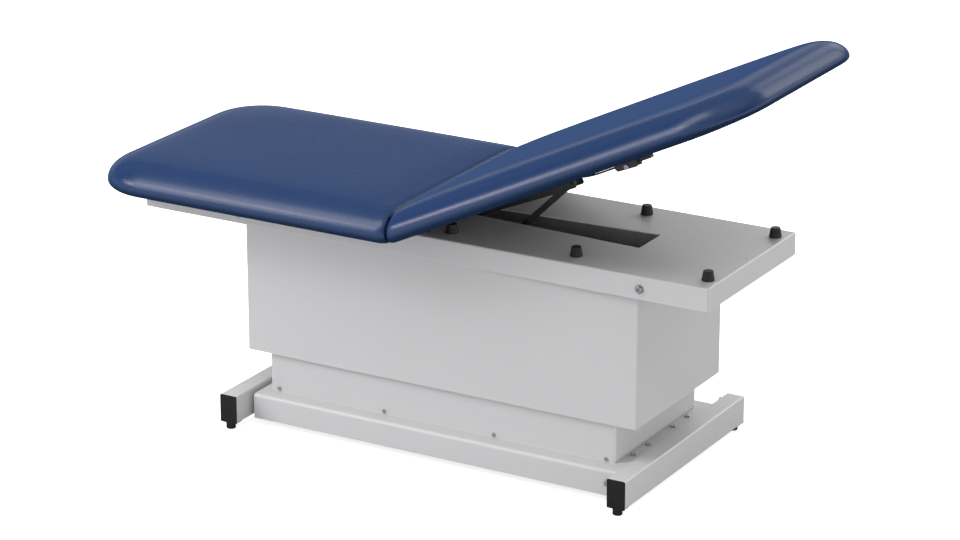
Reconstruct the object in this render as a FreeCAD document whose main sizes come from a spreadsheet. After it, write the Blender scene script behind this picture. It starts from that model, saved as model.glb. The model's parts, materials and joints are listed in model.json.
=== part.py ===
import FreeCAD, Part
import math
import os
import Sketcher

# Powered medical exam table: a base on two foot bars, two lifting columns, and a deck with
# a fixed leg section and a backrest that a prop holds up.
# Frame: origin on the floor under the middle of the overall length and width, +X towards
# the head end, +Z up, -Y the near long side.  All sizes in millimetres, angles in degrees.
# Parts are drawn about the centre of the base and then moved by frame_shift.
# Rest pose: lift at its drawn height, backrest raised by tilt_rest.
# In expressions "$name" is a cell of the Dims sheet.  Cutting tools run a little past the
# faces they open; that excess is not a dimension of the table.

Vector = FreeCAD.Vector
Rotation = FreeCAD.Rotation

DIMS = dict(
    # deck and its slot
    deck_x_foot=-801.2, deck_x_head=704.5, deck_width=454.6, deck_top=549.3,
    deck_depth=54.1, deck_sheet=2.5, deck_bend=4.0, end_hole_x=686.0,
    slot_x_left=-100.0, slot_half_left=26.7, slot_x_right=443.8, slot_half_right=55.0,
    side_screw_x=534.2, side_screw_z=519.2, side_hole_radius=3.5,
    # rubber bumpers
    bumper_base=30.0, bumper_tip=22.5, bumper_height=22.5, bumper_pitch_y=173.0,
    bumper_x_one=20.4, bumper_x_two=345.8, bumper_x_three=676.8,
    bumper_hole_radius=2.75, bumper_screw_radius=2.5, bumper_screw_length=14.0,
    # telescoping skirts
    outer_skirt_length=1048.0, outer_skirt_width=425.2, outer_skirt_bottom=174.7,
    inner_skirt_length=935.0, inner_skirt_width=406.0, inner_skirt_top=415.0, skirt_sheet=2.0,
    # base pan
    pan_x_foot=-487.7, pan_x_head=499.0, pan_width=497.0, pan_top=78.4,
    pan_bottom=16.4, pan_sheet=3.0, pan_bend=9.0, pan_bend_room=6.0,
    screw_hole_radius=17.0, shaft_hole_radius=7.0,
    # foot bars and their caps
    bar_centre_x=523.5, bar_width=47.0, bar_bottom=17.8, bar_top=86.0,
    bar_half_length=304.0, bar_wall=2.5, bar_bolt_inset=14.0, bar_bolt_z=68.0,
    cap_plate=2.0, cap_plug_length=24.0, cap_plug_play=0.2, cap_lip_length=26.0, cap_lip_thick=2.0,
    foot_y=296.0, foot_dia=23.0, tread_height=1.5, flare_height=2.0,
    # rails of the base and of the deck
    rail_width=40.0, rail_wall=2.5, base_rail_y=130.0, base_rail_bottom=22.0,
    base_rail_height=50.0, notch_play=0.5, notch_top=72.6,
    rail_bottom=506.8, deck_rail_y=85.0, deck_rail_length=1030.0,
    # lifting columns and drives
    column_x=380.0, column_outer=100.0, column_wall=3.0, column_inner=90.0,
    foot_plate_top=88.4, column_outer_top=400.0, column_inner_bottom=180.0,
    plate_bottom=498.8, plate_length=120.0, foot_plate_width=160.0, top_plate_width=220.0,
    bearing_radius=16.0, glide_width=60.0, glide_height=50.0,
    screw_radius=8.0, screw_bottom=30.0, nut_height=24.0, running_gap=0.05,
    motor_offset=100.0, motor_radius=30.0, motor_height=110.0, flange_size=66.0,
    flange_height=12.0, shaft_radius=5.0, shaft_bottom=36.0, shaft_length=80.0,
    motor_bore_bottom=60.0, motor_bore_length=60.0,
    pulley_radius=20.0, pulley_bottom=40.0, pulley_height=15.0, belt_thick=3.0,
    control_length=130.0, control_width=120.0, control_height=55.0, cable_radius=4.0, cable_z=104.0,
    # cushions
    cushion_bottom=553.0, cushion_thick=69.0, cushion_width=692.0,
    leg_x_foot=-904.5, leg_x_joint=-56.5, back_x_joint=-53.3, back_x_head=921.3,
    leg_corner=158.0, head_corner=158.0, cushion_top_round=50.0, cushion_low_round=17.0,
    leg_lean=61.5, back_lean=35.1, lean_height=66.0,
    leg_recess_foot=-860.0, leg_recess_joint=-40.0, back_recess_head=885.0,
    back_recess_joint=-70.0, recess_corner=117.0, rim_half_inner=305.0,
    # boards and the spacer frame
    board_bottom=574.3, board_thick=12.0, board_gap=2.0, leg_board_joint=-84.0,
    back_board_joint=-35.0, spacer_x_foot=-782.0, spacer_x_joint=-125.0,
    spacer_half=138.0, spacer_band=32.0, bolt_radius=3.0, bolt_hole_radius=3.3,
    # hinges
    hinge_x=-54.9, hinge_z=562.3, hinge_y=170.0, pin_radius=5.0, hinge_eye=8.0,
    hinge_ear=5.0, hinge_ear_y=18.5, hinge_base_x=-68.0, hinge_base_length=80.0,
    hinge_base_width=56.0, hinge_base_thick=4.0, knuckle_width=31.0, leaf_width=44.0, leaf_thick=4.0,
    # prop
    tilt_rest=25.7, prop_angle=44.1, prop_top_x=255.8, prop_top_z=520.3,
    prop_low_x=-115.78, prop_low_z=311.24, prop_bar_length=390.0, prop_bar_depth=13.0,
    prop_bar_width=20.0, prop_bar_nose=9.0, prop_pin_radius=4.0, prop_sleeve_length=260.0,
    sleeve_width=27.0, sleeve_depth=25.0, sleeve_wall=3.0, sleeve_heel=16.0,
    hanger_x=-124.0, hanger_length=84.0, hanger_width=210.0, hanger_thick=6.0,
    hanger_eye=22.0, hanger_ear=4.5, hanger_ear_y=17.75,
    # backrest channel
    channel_x_foot=-22.0, channel_x_head=271.0, channel_width=38.0, channel_cheek=3.0,
    channel_web=4.0, channel_flange_half=45.0,
    # backrest release
    lever_x=591.0, lever_z=542.3, lever_y=-300.0, lever_width=12.0, lever_inset=17.0,
    release_width=22.0, release_sheet=2.5, release_web=3.0,
    frame_shift=40.7,
)

ENDS = (("head", ""), ("foot", "-"))  # name, sign of x
SIDES = (("near", "-"), ("far", ""))  # name, sign of y
# end, x of the column, x of its motor
COLUMNS = (
    ("head", "$column_x", "$column_x - $motor_offset"),
    ("foot", "-$column_x", "-$column_x + $motor_offset"),
)
BUMPERS = [(f"{number}_{side}", f"$bumper_x_{number}", sign + "$bumper_pitch_y")
           for number in ("one", "two", "three") for side, sign in SIDES]
LEG_BOLTS = [(x, y) for x in (-765.0, -140.0) for y in (-122.0, 122.0)]
HINGE_BOLT_X = (-95.0, -36.0)
PAN_BOLTS = [(x, y) for x in (479.5, -478.0) for y in (-137.0, -64.0, 64.0, 137.0)]
SKIRT_SCREW_X = (-444.0, -149.0, 149.0, 444.0)
BORE_LENGTH = 60.0  # length of the cutters for through bores

doc = FreeCAD.newDocument("exam_table")
sheet = doc.addObject("Spreadsheet::Sheet", "Dims")
for row, (alias, number) in enumerate(DIMS.items(), start=1):
    sheet.set(f"A{row}", alias)
    sheet.set(f"B{row}", str(number))
    sheet.setAlias(f"B{row}", alias)
doc.recompute()

NODES = []   # every exported piece
RAISED = []  # pieces that tilt with the backrest
TURNED = []  # pieces whose placement is a rotation


# ---- values and expressions ----------------------------------------------------

def expr(text):
    return text.replace("$", "Dims.")


def bind(obj, prop, value):
    """Set a property to a number, or bind it to an expression."""
    if isinstance(value, str):
        obj.setExpression(prop, expr(value))
    else:
        setattr(obj, prop, value)


def value_of(value):
    """Number behind a value that may be an expression."""
    if not isinstance(value, str):
        return float(value)
    text = value
    for alias in sorted(DIMS, key=len, reverse=True):
        text = text.replace("$" + alias, f"({DIMS[alias]!r})")
    return float(FreeCAD.Units.parseQuantity(text).Value)


# ---- Part helpers ---------------------------------------------------------------

AXES = {
    "Z": Rotation(),
    "X": Rotation(Vector(0, 1, 0), 90),
    "-X": Rotation(Vector(0, 1, 0), -90),
    "Y": Rotation(Vector(1, 0, 0), -90),
    "-Y": Rotation(Vector(1, 0, 0), 90),
}


def primitive(kind, name, place, axis="Z", **sizes):
    obj = doc.addObject("Part::" + kind, name)
    for prop, value in sizes.items():
        bind(obj, prop, value)
    base = [0.0 if isinstance(value, str) else value for value in place]
    obj.Placement = FreeCAD.Placement(Vector(*base), AXES[axis])
    for letter, value in zip("xyz", place):
        if isinstance(value, str):
            obj.setExpression("Placement.Base." + letter, expr(value))
    return obj


def box(name, length, width, height, x, y, z):
    return primitive("Box", name, (x, y, z), Length=length, Width=width, Height=height)


def centred_box(name, length, width, height, x, y, z):
    """Box centred on x and y and standing on z."""
    return box(name, length, width, height, f"{x} - ({length}) / 2", f"{y} - ({width}) / 2", z)


def cyl(name, radius, length, x, y, z, axis="Z"):
    return primitive("Cylinder", name, (x, y, z), axis, Radius=radius, Height=length)


def cyl_y(name, radius, length, x, y, z):
    """Cylinder along Y, centred on y."""
    return cyl(name, radius, length, x, f"{y} - ({length}) / 2", z, "Y")


def bore_y(name, radius, x, y, z):
    return cyl_y(name, radius, BORE_LENGTH, x, y, z)


def bore_z(name, radius, x, y, z):
    """Vertical cutter centred on z."""
    return cyl(name, radius, BORE_LENGTH, x, y, f"{z} - {BORE_LENGTH / 2}")


def cone(name, radius, end_radius, length, x, y, z):
    return primitive("Cone", name, (x, y, z), Radius1=radius, Radius2=end_radius, Height=length)


def hexa(name, radius, length, x, y, z, axis="Z"):
    return primitive("Prism", name, (x, y, z), axis,
                     Polygon=6, Circumradius=radius, Height=length)


def group(name, parts):
    obj = doc.addObject("Part::Compound", name)
    obj.Links = list(parts)
    return obj


def fuse(name, *parts):
    if len(parts) == 2:
        obj = doc.addObject("Part::Fuse", name)
        obj.Base, obj.Tool = parts
    else:
        obj = doc.addObject("Part::MultiFuse", name)
        obj.Shapes = list(parts)
    return obj


def cut(name, base, *tools):
    obj = doc.addObject("Part::Cut", name)
    obj.Base = base
    obj.Tool = tools[0] if len(tools) == 1 else group(name + "_tools", tools)
    return obj


def at(edge, axis, value):
    """Does the edge lie wholly at this coordinate of the axis?"""
    bounds = edge.BoundBox
    ends = (getattr(bounds, axis + "Min"), getattr(bounds, axis + "Max"))
    return all(abs(end - value) < 0.01 for end in ends)


def along(edge, axis):
    """Is the edge straight along the axis?"""
    sizes = {letter: getattr(edge.BoundBox, letter + "Length") for letter in "XYZ"}
    return sizes.pop(axis) > 1 and max(sizes.values()) < 0.01


def fillet(name, base, radius, want):
    """Part::Fillet on the edges of base that `want` picks."""
    doc.recompute()
    obj = doc.addObject("Part::Fillet", name)
    obj.Base = base
    obj.Edges = [(i, radius, radius) for i, e in enumerate(base.Shape.Edges, 1) if want(e)]
    if not obj.Edges:
        raise RuntimeError("no edges for " + name)
    return obj


def domed(name, radius, length, rounding, x, y, z, axis="Z"):
    """Cylinder with its far end rounded."""
    letter = axis[-1]
    start = value_of({"X": x, "Y": y, "Z": z}[letter])
    end = start + value_of(length) * (-1 if axis[0] == "-" else 1)
    body = cyl(name + "_C", radius, length, x, y, z, axis)
    return fillet(name, body, rounding, lambda e: at(e, letter, end))


def pin_y(name, radius, length, head_radius, head_length, x, y, z, overhang=0.0):
    """Pin along Y with its head at the -Y end, `overhang` beyond the shank."""
    return fuse(name, cyl_y(name + "_S", radius, length, x, y, z),
                cyl(name + "_H", head_radius, head_length,
                    x, f"{y} - {length / 2 + overhang}", z, "Y"))


def rail(name, length, y, bottom, height):
    """Open rectangular tube along X."""
    outer = centred_box(name + "_O", length, "$rail_width", height, 0, y, bottom)
    inner = centred_box(name + "_I", f"{length} + 20", "$rail_width - 2 * $rail_wall",
                        f"{height} - 2 * $rail_wall", 0, y, f"{bottom} + $rail_wall")
    return cut(name, outer, inner)


def ears(name, radius, thick, offset, x, y, eye_z, bottom, top):
    """Two upright straps either side of y, each with a round eye."""
    parts = []
    for k, sign in enumerate("-+"):
        ear_y = f"{y} {sign} {offset}"
        parts.append(centred_box(f"{name}Ear{k}", f"2 * {radius}", thick, f"{top} - {bottom}",
                                 x, ear_y, bottom))
        parts.append(cyl_y(f"{name}Eye{k}", radius, thick, x, ear_y, eye_z))
    return parts


def node(obj, label):
    """Register a piece to export."""
    obj.Label = label
    NODES.append(obj)
    return obj


def raised(obj, label):
    """Register a piece of the backrest, drawn lying flat."""
    RAISED.append(obj)
    return node(obj, label)


def turn(obj, angle, x, z):
    """Tilt a piece, head end up, by a sheet angle and move its origin to x, z."""
    obj.Placement = FreeCAD.Placement(Vector(), Rotation(Vector(0, -1, 0), DIMS[angle]))
    obj.setExpression("Placement.Rotation.Angle", expr(f"${angle} * 1deg"))
    obj.setExpression("Placement.Base.x", expr(x + " + $frame_shift"))
    obj.setExpression("Placement.Base.z", expr(z))
    TURNED.append(obj)


# ---- PartDesign helpers -----------------------------------------------------------

def new_body(name):
    return doc.addObject("PartDesign::Body", name)


def rect(x_from, y_from, x_to, y_to):
    return [(x_from, y_from), (x_to, y_from), (x_to, y_to), (x_from, y_to)]


def strip(x_from, x_to, half):
    """Rectangle symmetric about the sketch's X axis."""
    return rect(x_from, f"-({half})", x_to, half)


def dimension(sk, kind, where, value):
    """Sketch dimension, bound to the sheet where its value is an expression."""
    index = sk.addConstraint(Sketcher.Constraint(kind, *where, value_of(value)))
    if isinstance(value, str):
        name = f"{kind}_{index}"
        sk.renameConstraint(index, name)
        sk.setExpression("Constraints." + name, expr(value))


def sketch(body, name, base_plane, offset=0.0, outline=(), holes=()):
    """Sketch of a closed outline of (x, y) corners and holes of (x, y, radius).

    On XZ the normal, and so a positive offset, points to -Y.
    """
    sk = body.newObject("Sketcher::SketchObject", name)
    role = base_plane + "_Plane"
    origin_plane = [f for f in body.Origin.OriginFeatures if f.Role == role][0]
    sk.AttachmentSupport = [(origin_plane, "")]
    sk.MapMode = "FlatFace"
    if isinstance(offset, str):
        sk.setExpression("AttachmentOffset.Base.z", expr(offset))
    else:
        sk.AttachmentOffset = FreeCAD.Placement(Vector(0, 0, offset), Rotation())
    corners = [Vector(value_of(x), value_of(y), 0) for x, y in outline]
    count = len(corners)
    for i in range(count):
        sk.addGeometry(Part.LineSegment(corners[i], corners[(i + 1) % count]), False)
    for i in range(count):
        sk.addConstraint(Sketcher.Constraint("Coincident", i, 2, (i + 1) % count, 1))
    for i, (x, y) in enumerate(outline):
        dimension(sk, "DistanceX", (-1, 1, i, 1), x)
        dimension(sk, "DistanceY", (-1, 1, i, 1), y)
    for x, y, radius in holes:
        centre = Vector(value_of(x), value_of(y), 0)
        ring = Part.Circle(centre, Vector(0, 0, 1), value_of(radius))
        index = sk.addGeometry(ring, False)
        dimension(sk, "DistanceX", (-1, 1, index, 3), x)
        dimension(sk, "DistanceY", (-1, 1, index, 3), y)
        dimension(sk, "Radius", (index,), radius)
    return sk


def pad(body, name, sk, length, mid=False):
    feature = body.newObject("PartDesign::Pad", name)
    feature.Profile = sk
    bind(feature, "Length", length)
    feature.Midplane = mid
    doc.recompute()


def pocket(body, name, sk, length, along_normal=False, mid=False):
    before = body.Shape.Volume
    feature = body.newObject("PartDesign::Pocket", name)
    feature.Profile = sk
    bind(feature, "Length", length)
    feature.Reversed = along_normal
    feature.Midplane = mid
    doc.recompute()
    if not body.Shape.Volume < before - 1e-3:
        raise RuntimeError(name + " cuts nothing")


def round_edges(body, name, radius, want):
    doc.recompute()
    tip = body.Tip
    names = [f"Edge{i}" for i, e in enumerate(tip.Shape.Edges, 1) if want(e)]
    if not names:
        raise RuntimeError("no edges for " + name)
    feature = body.newObject("PartDesign::Fillet", name)
    feature.Base = (tip, names)
    bind(feature, "Radius", radius)
    doc.recompute()


# =============================== BASE =========================================

def base_pan():
    """Sheet pan, open below, its long top edges bent."""
    body = new_body("PanBody")
    sk = sketch(body, "PanPlan", "XY", "$pan_bottom",
                strip("$pan_x_foot", "$pan_x_head", "$pan_width / 2"))
    pad(body, "PanPad", sk, "$pan_top - $pan_bottom")
    round_edges(body, "PanBend", "$pan_bend",
                lambda e: along(e, "X") and at(e, "Z", DIMS["pan_top"]))
    # full height but narrower first, then full width below the bends
    for tag, top, width in (
            ("", "$pan_top - $pan_sheet", "$pan_width - 2 * $pan_sheet - $pan_bend_room"),
            ("Low", "$pan_top - $pan_bend - 1", "$pan_width - 2 * $pan_sheet")):
        sk = sketch(body, "PanInside" + tag, "XZ", outline=rect(
            "$pan_x_foot + $pan_sheet", "$pan_bottom - 5", "$pan_x_head - $pan_sheet", top))
        pocket(body, "PanHollow" + tag, sk, width, mid=True)
    holes = []
    for _, column_x, motor_x in COLUMNS:
        holes.append((column_x, 0.0, "$screw_hole_radius"))
        holes.append((motor_x, 0.0, "$shaft_hole_radius"))
    sk = sketch(body, "PanShaftHoles", "XY", "$pan_top + 2", holes=holes)
    pocket(body, "PanShaftPocket", sk, 10.0)
    # notches in both end walls where the base rails pass to the foot bars
    for side, sign in SIDES:
        rail_y = sign + "$base_rail_y"
        sk = sketch(body, "PanRailNotch_" + side, "YZ", outline=rect(
            f"{rail_y} - $rail_width / 2 - $notch_play", "$pan_bottom - 5",
            f"{rail_y} + $rail_width / 2 + $notch_play", "$notch_top"))
        pocket(body, "PanRailPocket_" + side, sk, 1100.0, mid=True)
    return body


def foot_bar(end, x):
    """Rounded tube along Y under one end."""
    outer = centred_box("BarOuter_" + end, "$bar_width", "2 * $bar_half_length",
                        "$bar_top - $bar_bottom", x, 0, "$bar_bottom")
    rounded = fillet("BarRound_" + end, outer, 4.0, lambda e: along(e, "Y"))
    inner = centred_box("BarInner_" + end, "$bar_width - 2 * $bar_wall",
                        "2 * $bar_half_length + 10", "$bar_top - $bar_bottom - 2 * $bar_wall",
                        x, 0, "$bar_bottom + $bar_wall")
    return cut("Bar_" + end, rounded, inner)


def foot_cap(tag, x, sign):
    """Cap of one bar end with the foot below it."""
    inside_y = f"{sign}($bar_half_length - $cap_plug_length / 2)"
    foot_y = sign + "$foot_y"
    # end plate over the open tube, rounded like the tube's own corners
    plate = centred_box("CapPlate_" + tag, "$bar_width - 1", "$cap_plate",
                        "$bar_top - $bar_bottom + 1.5",
                        x, f"{sign}($bar_half_length + $cap_plate / 2)",
                        "$bar_bottom - $cap_lip_thick")
    shell = fillet("CapPlateRound_" + tag, plate, 3.0, lambda e: along(e, "Y"))
    plug = centred_box("CapPlug_" + tag, "$bar_width - 2 * $bar_wall - 2 * $cap_plug_play",
                       "$cap_plug_length",
                       "$bar_top - $bar_bottom - 2 * $bar_wall - 2 * $cap_plug_play",
                       x, inside_y, "$bar_bottom + $bar_wall + $cap_plug_play")
    # lip folded under the tube, carrying the foot
    lip = centred_box("CapLip_" + tag, "$bar_width - 7", "$cap_lip_length", "$cap_lip_thick",
                      x, inside_y, "$bar_bottom - $cap_lip_thick")
    tread = cone("CapTread_" + tag, "$foot_dia / 2 - 1.5", "$foot_dia / 2", "$tread_height",
                 x, foot_y, 0.0)
    stem = cyl("CapStem_" + tag, "$foot_dia / 2", "$bar_bottom - 3 - $tread_height",
               x, foot_y, "$tread_height")
    flare = cone("CapFlare_" + tag, "$foot_dia / 2", "$foot_dia / 2 + 3", "$flare_height",
                 x, foot_y, "$bar_bottom - 3.5")
    # nothing may stand out beyond the end plate
    trim = centred_box("CapTrim_" + tag, 60.0, 10.0, 30.0,
                       x, f"{sign}($bar_half_length + $cap_plate + 5)", -5.0)
    solid = fuse("CapSolid_" + tag, shell, plug, lip, tread, stem, flare)
    return cut("Cap_" + tag, solid, trim)


def bar_hex_bolt(side, sign):
    """Hex bolt on the head-end bar, on its face towards the foot end."""
    washer_thick = 1.5
    face_x = "$bar_centre_x - $bar_width / 2"
    y = f"{sign}($bar_half_length - $bar_bolt_inset)"
    washer = cyl("HexWasher_" + side, 12.0, washer_thick, face_x, y, "$bar_bolt_z", "-X")
    head = hexa("HexHead_" + side, 10.5, 9.5, f"{face_x} - {washer_thick}", y,
                "$bar_bolt_z", "-X")
    return fuse("HexBolt_" + side, washer, head)


def skirt(name, length, width, bottom, top, rounding):
    """Sheet wall around the columns, open above and below."""
    body = new_body(name + "Body")
    sk = sketch(body, name + "Plan", "XY", bottom,
                strip(f"-{length} / 2", f"{length} / 2", f"{width} / 2"))
    pad(body, name + "Pad", sk, f"{top} - {bottom}")
    round_edges(body, name + "Round", rounding, lambda e: along(e, "Z"))
    sk = sketch(body, name + "Hollow", "XY", f"{top} + 5",
                strip(f"-{length} / 2 + $skirt_sheet", f"{length} / 2 - $skirt_sheet",
                      f"{width} / 2 - $skirt_sheet"))
    pocket(body, name + "Pocket", sk, f"{top} - {bottom} + 10")
    return body


node(base_pan(), "base_pan")
for end, end_sign in ENDS:
    bar_x = end_sign + "$bar_centre_x"
    node(foot_bar(end, bar_x), "foot_bar_" + end)
    for side, sign in SIDES:
        node(foot_cap(f"{end}_{side}", bar_x, sign), f"foot_cap_{end}_{side}")
node(group("BaseRails", [rail("BaseRail_" + side, "2 * $bar_centre_x - $bar_width",
                              sign + "$base_rail_y", "$base_rail_bottom", "$base_rail_height")
                         for side, sign in SIDES]), "base_rails")
node(group("PanBolts", [domed(f"PanBolt_{x:.0f}_{y:.0f}", radius=6.5, length=4.2, rounding=1.6,
                              x=x, y=y, z="$pan_top") for x, y in PAN_BOLTS]), "pan_bolts")
node(group("HexBolts", [bar_hex_bolt(side, sign) for side, sign in SIDES]), "bar_hex_bolts")
node(skirt("InnerSkirt", "$inner_skirt_length", "$inner_skirt_width", "$pan_top",
           "$inner_skirt_top", rounding=6.5), "lower_skirt")
node(group("SkirtScrews", [
    domed(f"SkirtScrew_{x:.0f}_{side}", radius=5.0, length=2.8, rounding=1.2,
          x=x, y=sign + "$inner_skirt_width / 2", z=85.0, axis=sign + "Y")
    for x in SKIRT_SCREW_X for side, sign in SIDES]), "skirt_screws")


# ---- lifting columns ----------------------------------------------------------

def foot_plate(end, x):
    plate = centred_box("FootPlateB_" + end, "$plate_length", "$foot_plate_width",
                        "$foot_plate_top - $pan_top", x, 0, "$pan_top")
    return cut("FootPlate_" + end, plate,
               bore_z("FootPlateH_" + end, "$bearing_radius", x, 0.0, "$pan_top"))


def bearing(end, x):
    ring = cyl("BearingO_" + end, "$bearing_radius", "$foot_plate_top - $pan_top",
               x, 0.0, "$pan_top")
    return cut("Bearing_" + end, ring,
               bore_z("BearingI_" + end, "$screw_radius + $running_gap", x, 0.0, "$pan_top"))


def column_tube(name, size, bottom, top, x, rounding=None):
    """Square upright tube, its vertical edges rounded if a radius is given."""
    outer = centred_box(name + "_O", size, size, f"{top} - {bottom}", x, 0, bottom)
    if rounding:
        outer = fillet(name + "_R", outer, rounding, lambda e: along(e, "Z"))
    inside = f"{size} - 2 * $column_wall"
    inner = centred_box(name + "_I", inside, inside, f"{top} - {bottom} + 20",
                        x, 0, f"{bottom} - 10")
    return cut(name, outer, inner)


def glide_pads(end, x):
    """Four pads at the mouth of the outer tube, running_gap from the inner tube."""
    thick = "($column_outer / 2 - $column_wall - $column_inner / 2 - $running_gap)"
    out = f"($column_outer / 2 - $column_wall - {thick} / 2)"
    z = "$column_outer_top - $glide_height - 5"
    pads = []
    for k, sign in enumerate("+-"):
        pads.append(centred_box(f"GlideX{k}_{end}", thick, "$glide_width", "$glide_height",
                                f"{x} {sign} {out}", 0, z))
    for k, sign in enumerate("+-"):
        pads.append(centred_box(f"GlideY{k}_{end}", "$glide_width", thick, "$glide_height",
                                x, f"0 {sign} {out}", z))
    return pads


def lead_screw(end, x):
    rod = cyl("LeadScrewC_" + end, "$screw_radius", "$column_outer_top - $screw_bottom",
              x, 0.0, "$screw_bottom")
    return fillet("LeadScrew_" + end, rod, 1.0, lambda e: not along(e, "Z"))


def pulley_disc(name, x):
    return cyl(name, "$pulley_radius", "$pulley_height", x, 0.0, "$pulley_bottom")


def screw_pulley(end, x):
    return cut("ScrewPulley_" + end, pulley_disc("ScrewPulleyO_" + end, x),
               bore_z("ScrewPulleyI_" + end, "$screw_radius", x, 0.0, "$pulley_bottom"))


def motor(end, x):
    """Round can on a square flange, with a blind bore for the shaft."""
    can = domed("MotorCan_" + end, "$motor_radius", "$motor_height", 4.0,
                x, 0.0, "$pan_top + $flange_height")
    flange = centred_box("MotorFlange_" + end, "$flange_size", "$flange_size",
                         "$flange_height", x, 0, "$pan_top")
    bore = cyl("MotorBore_" + end, "$shaft_radius + $running_gap", "$motor_bore_length",
               x, 0.0, "$motor_bore_bottom")
    return cut("Motor_" + end, fuse("MotorSolid_" + end, can, flange), bore)


def motor_pulley(end, x):
    shaft = cyl("MotorShaft_" + end, "$shaft_radius", "$shaft_length", x, 0.0, "$shaft_bottom")
    return fuse("MotorPulley_" + end, shaft, pulley_disc("MotorPulleyC_" + end, x))


def belt_loop(name, radius, height, column_x, motor_x):
    """Solid around both pulleys, at the middle of their height."""
    z = f"$pulley_bottom + $pulley_height / 2 - {height / 2}"
    return fuse(name, cyl(name + "_A", radius, height, column_x, 0.0, z),
                cyl(name + "_B", radius, height, motor_x, 0.0, z),
                centred_box(name + "_C", "$motor_offset", f"2 * ({radius})", height,
                            f"({column_x} + {motor_x}) / 2", 0, z))


def belt(end, column_x, motor_x):
    outer = belt_loop("BeltO_" + end, "$pulley_radius + $belt_thick", 12.0, column_x, motor_x)
    inner = belt_loop("BeltI_" + end, "$pulley_radius + $running_gap", 20.0, column_x, motor_x)
    return cut("Belt_" + end, outer, inner)


def screw_nut(end, x):
    """Block across the foot of the inner tube, around the lead screw."""
    inside = "$column_inner - 2 * $column_wall"
    block = centred_box("NutB_" + end, inside, inside, "$nut_height",
                        x, 0, "$column_inner_bottom")
    return cut("Nut_" + end, block, bore_z("NutH_" + end, "$screw_radius + $running_gap",
                                           x, 0.0, "$column_inner_bottom"))


def top_plate(end, x):
    return centred_box("TopPlate_" + end, "$plate_length", "$top_plate_width",
                       "$rail_bottom - $plate_bottom", x, 0, "$plate_bottom")


all_pads = []
for end, column_x, motor_x in COLUMNS:
    node(column_tube("ColumnOuter_" + end, "$column_outer", "$foot_plate_top",
                     "$column_outer_top", column_x, rounding=6.0), "column_outer_" + end)
    node(column_tube("ColumnInner_" + end, "$column_inner", "$column_inner_bottom",
                     "$plate_bottom", column_x), "column_inner_" + end)
    all_pads += glide_pads(end, column_x)
    node(lead_screw(end, column_x), "lead_screw_" + end)
    node(screw_pulley(end, column_x), "screw_pulley_" + end)
    node(motor(end, motor_x), "lift_motor_" + end)
    node(motor_pulley(end, motor_x), "motor_pulley_" + end)
node(group("FootPlates", [foot_plate(end, x) for end, x, _ in COLUMNS]), "column_foot_plates")
node(group("GlidePads", all_pads), "column_glide_pads")
node(group("Bearings", [bearing(end, x) for end, x, _ in COLUMNS]), "screw_bearings")
node(group("Belts", [belt(*column) for column in COLUMNS]), "drive_belts")

control = centred_box("ControlBoxB", "$control_length", "$control_width", "$control_height",
                      0, 0, "$pan_top")
node(fillet("ControlBox", control, 4.0, lambda e: not at(e, "Z", DIMS["pan_top"])),
     "control_box")
# from the control box's end faces to the near side of each motor can
node(group("MotorCables", [
    cyl("MotorCable_" + end, "$cable_radius",
        "$column_x - $motor_offset - $motor_radius - $control_length / 2",
        end_sign + "$control_length / 2", 0.0, "$cable_z", end_sign + "X")
    for end, end_sign in ENDS]), "motor_cables")

# =============================== LIFTING TOP ===================================
node(group("ScrewNuts", [screw_nut(end, x) for end, x, _ in COLUMNS]), "screw_nuts")
node(group("TopPlates", [top_plate(end, x) for end, x, _ in COLUMNS]), "column_top_plates")
node(group("DeckRails", [rail("DeckRail_" + side, "$deck_rail_length", sign + "$deck_rail_y",
                              "$rail_bottom", "$deck_top - $deck_sheet - $rail_bottom")
                         for side, sign in SIDES]), "deck_rails")


def deck():
    """Sheet tray, open below, with a tapered slot and its bolt holes."""
    body = new_body("DeckBody")
    sk = sketch(body, "DeckPlan", "XY", "$deck_top - $deck_depth",
                strip("$deck_x_foot", "$deck_x_head", "$deck_width / 2"))
    pad(body, "DeckPad", sk, "$deck_depth")
    round_edges(body, "DeckBend", "$deck_bend",
                lambda e: along(e, "Z") or at(e, "Z", DIMS["deck_top"]))
    sk = sketch(body, "DeckInside", "XY", "$deck_top - $deck_depth",
                strip("$deck_x_foot + $deck_sheet", "$deck_x_head - $deck_sheet",
                      "$deck_width / 2 - $deck_sheet"))
    pocket(body, "DeckHollow", sk, "$deck_depth - $deck_sheet", along_normal=True)
    sk = sketch(body, "DeckSlotPlan", "XY", "$deck_top + 2", [
        ("$slot_x_left", "-$slot_half_left"), ("$slot_x_right", "-$slot_half_right"),
        ("$slot_x_right", "$slot_half_right"), ("$slot_x_left", "$slot_half_left")])
    pocket(body, "DeckSlot", sk, 10.0)
    holes = [("$end_hole_x", 0.0, "$bolt_hole_radius")]
    holes += [(x, y, "$bumper_hole_radius") for _, x, y in BUMPERS]
    holes += [(x, y, "$bolt_hole_radius") for x, y in LEG_BOLTS]
    holes += [(x, sign + "$hinge_y", "$bolt_hole_radius")
              for x in HINGE_BOLT_X for _, sign in SIDES]
    pocket(body, "DeckHolePocket",
           sketch(body, "DeckHoles", "XY", "$deck_top + 2", holes=holes), 10.0)
    holes = [(sign + "$side_screw_x", "$side_screw_z", "$side_hole_radius")
             for _, sign in ENDS]
    pocket(body, "DeckSidePocket", sketch(body, "DeckSideHoles", "XZ", holes=holes),
           "$deck_width + 20", mid=True)
    return body


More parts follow.
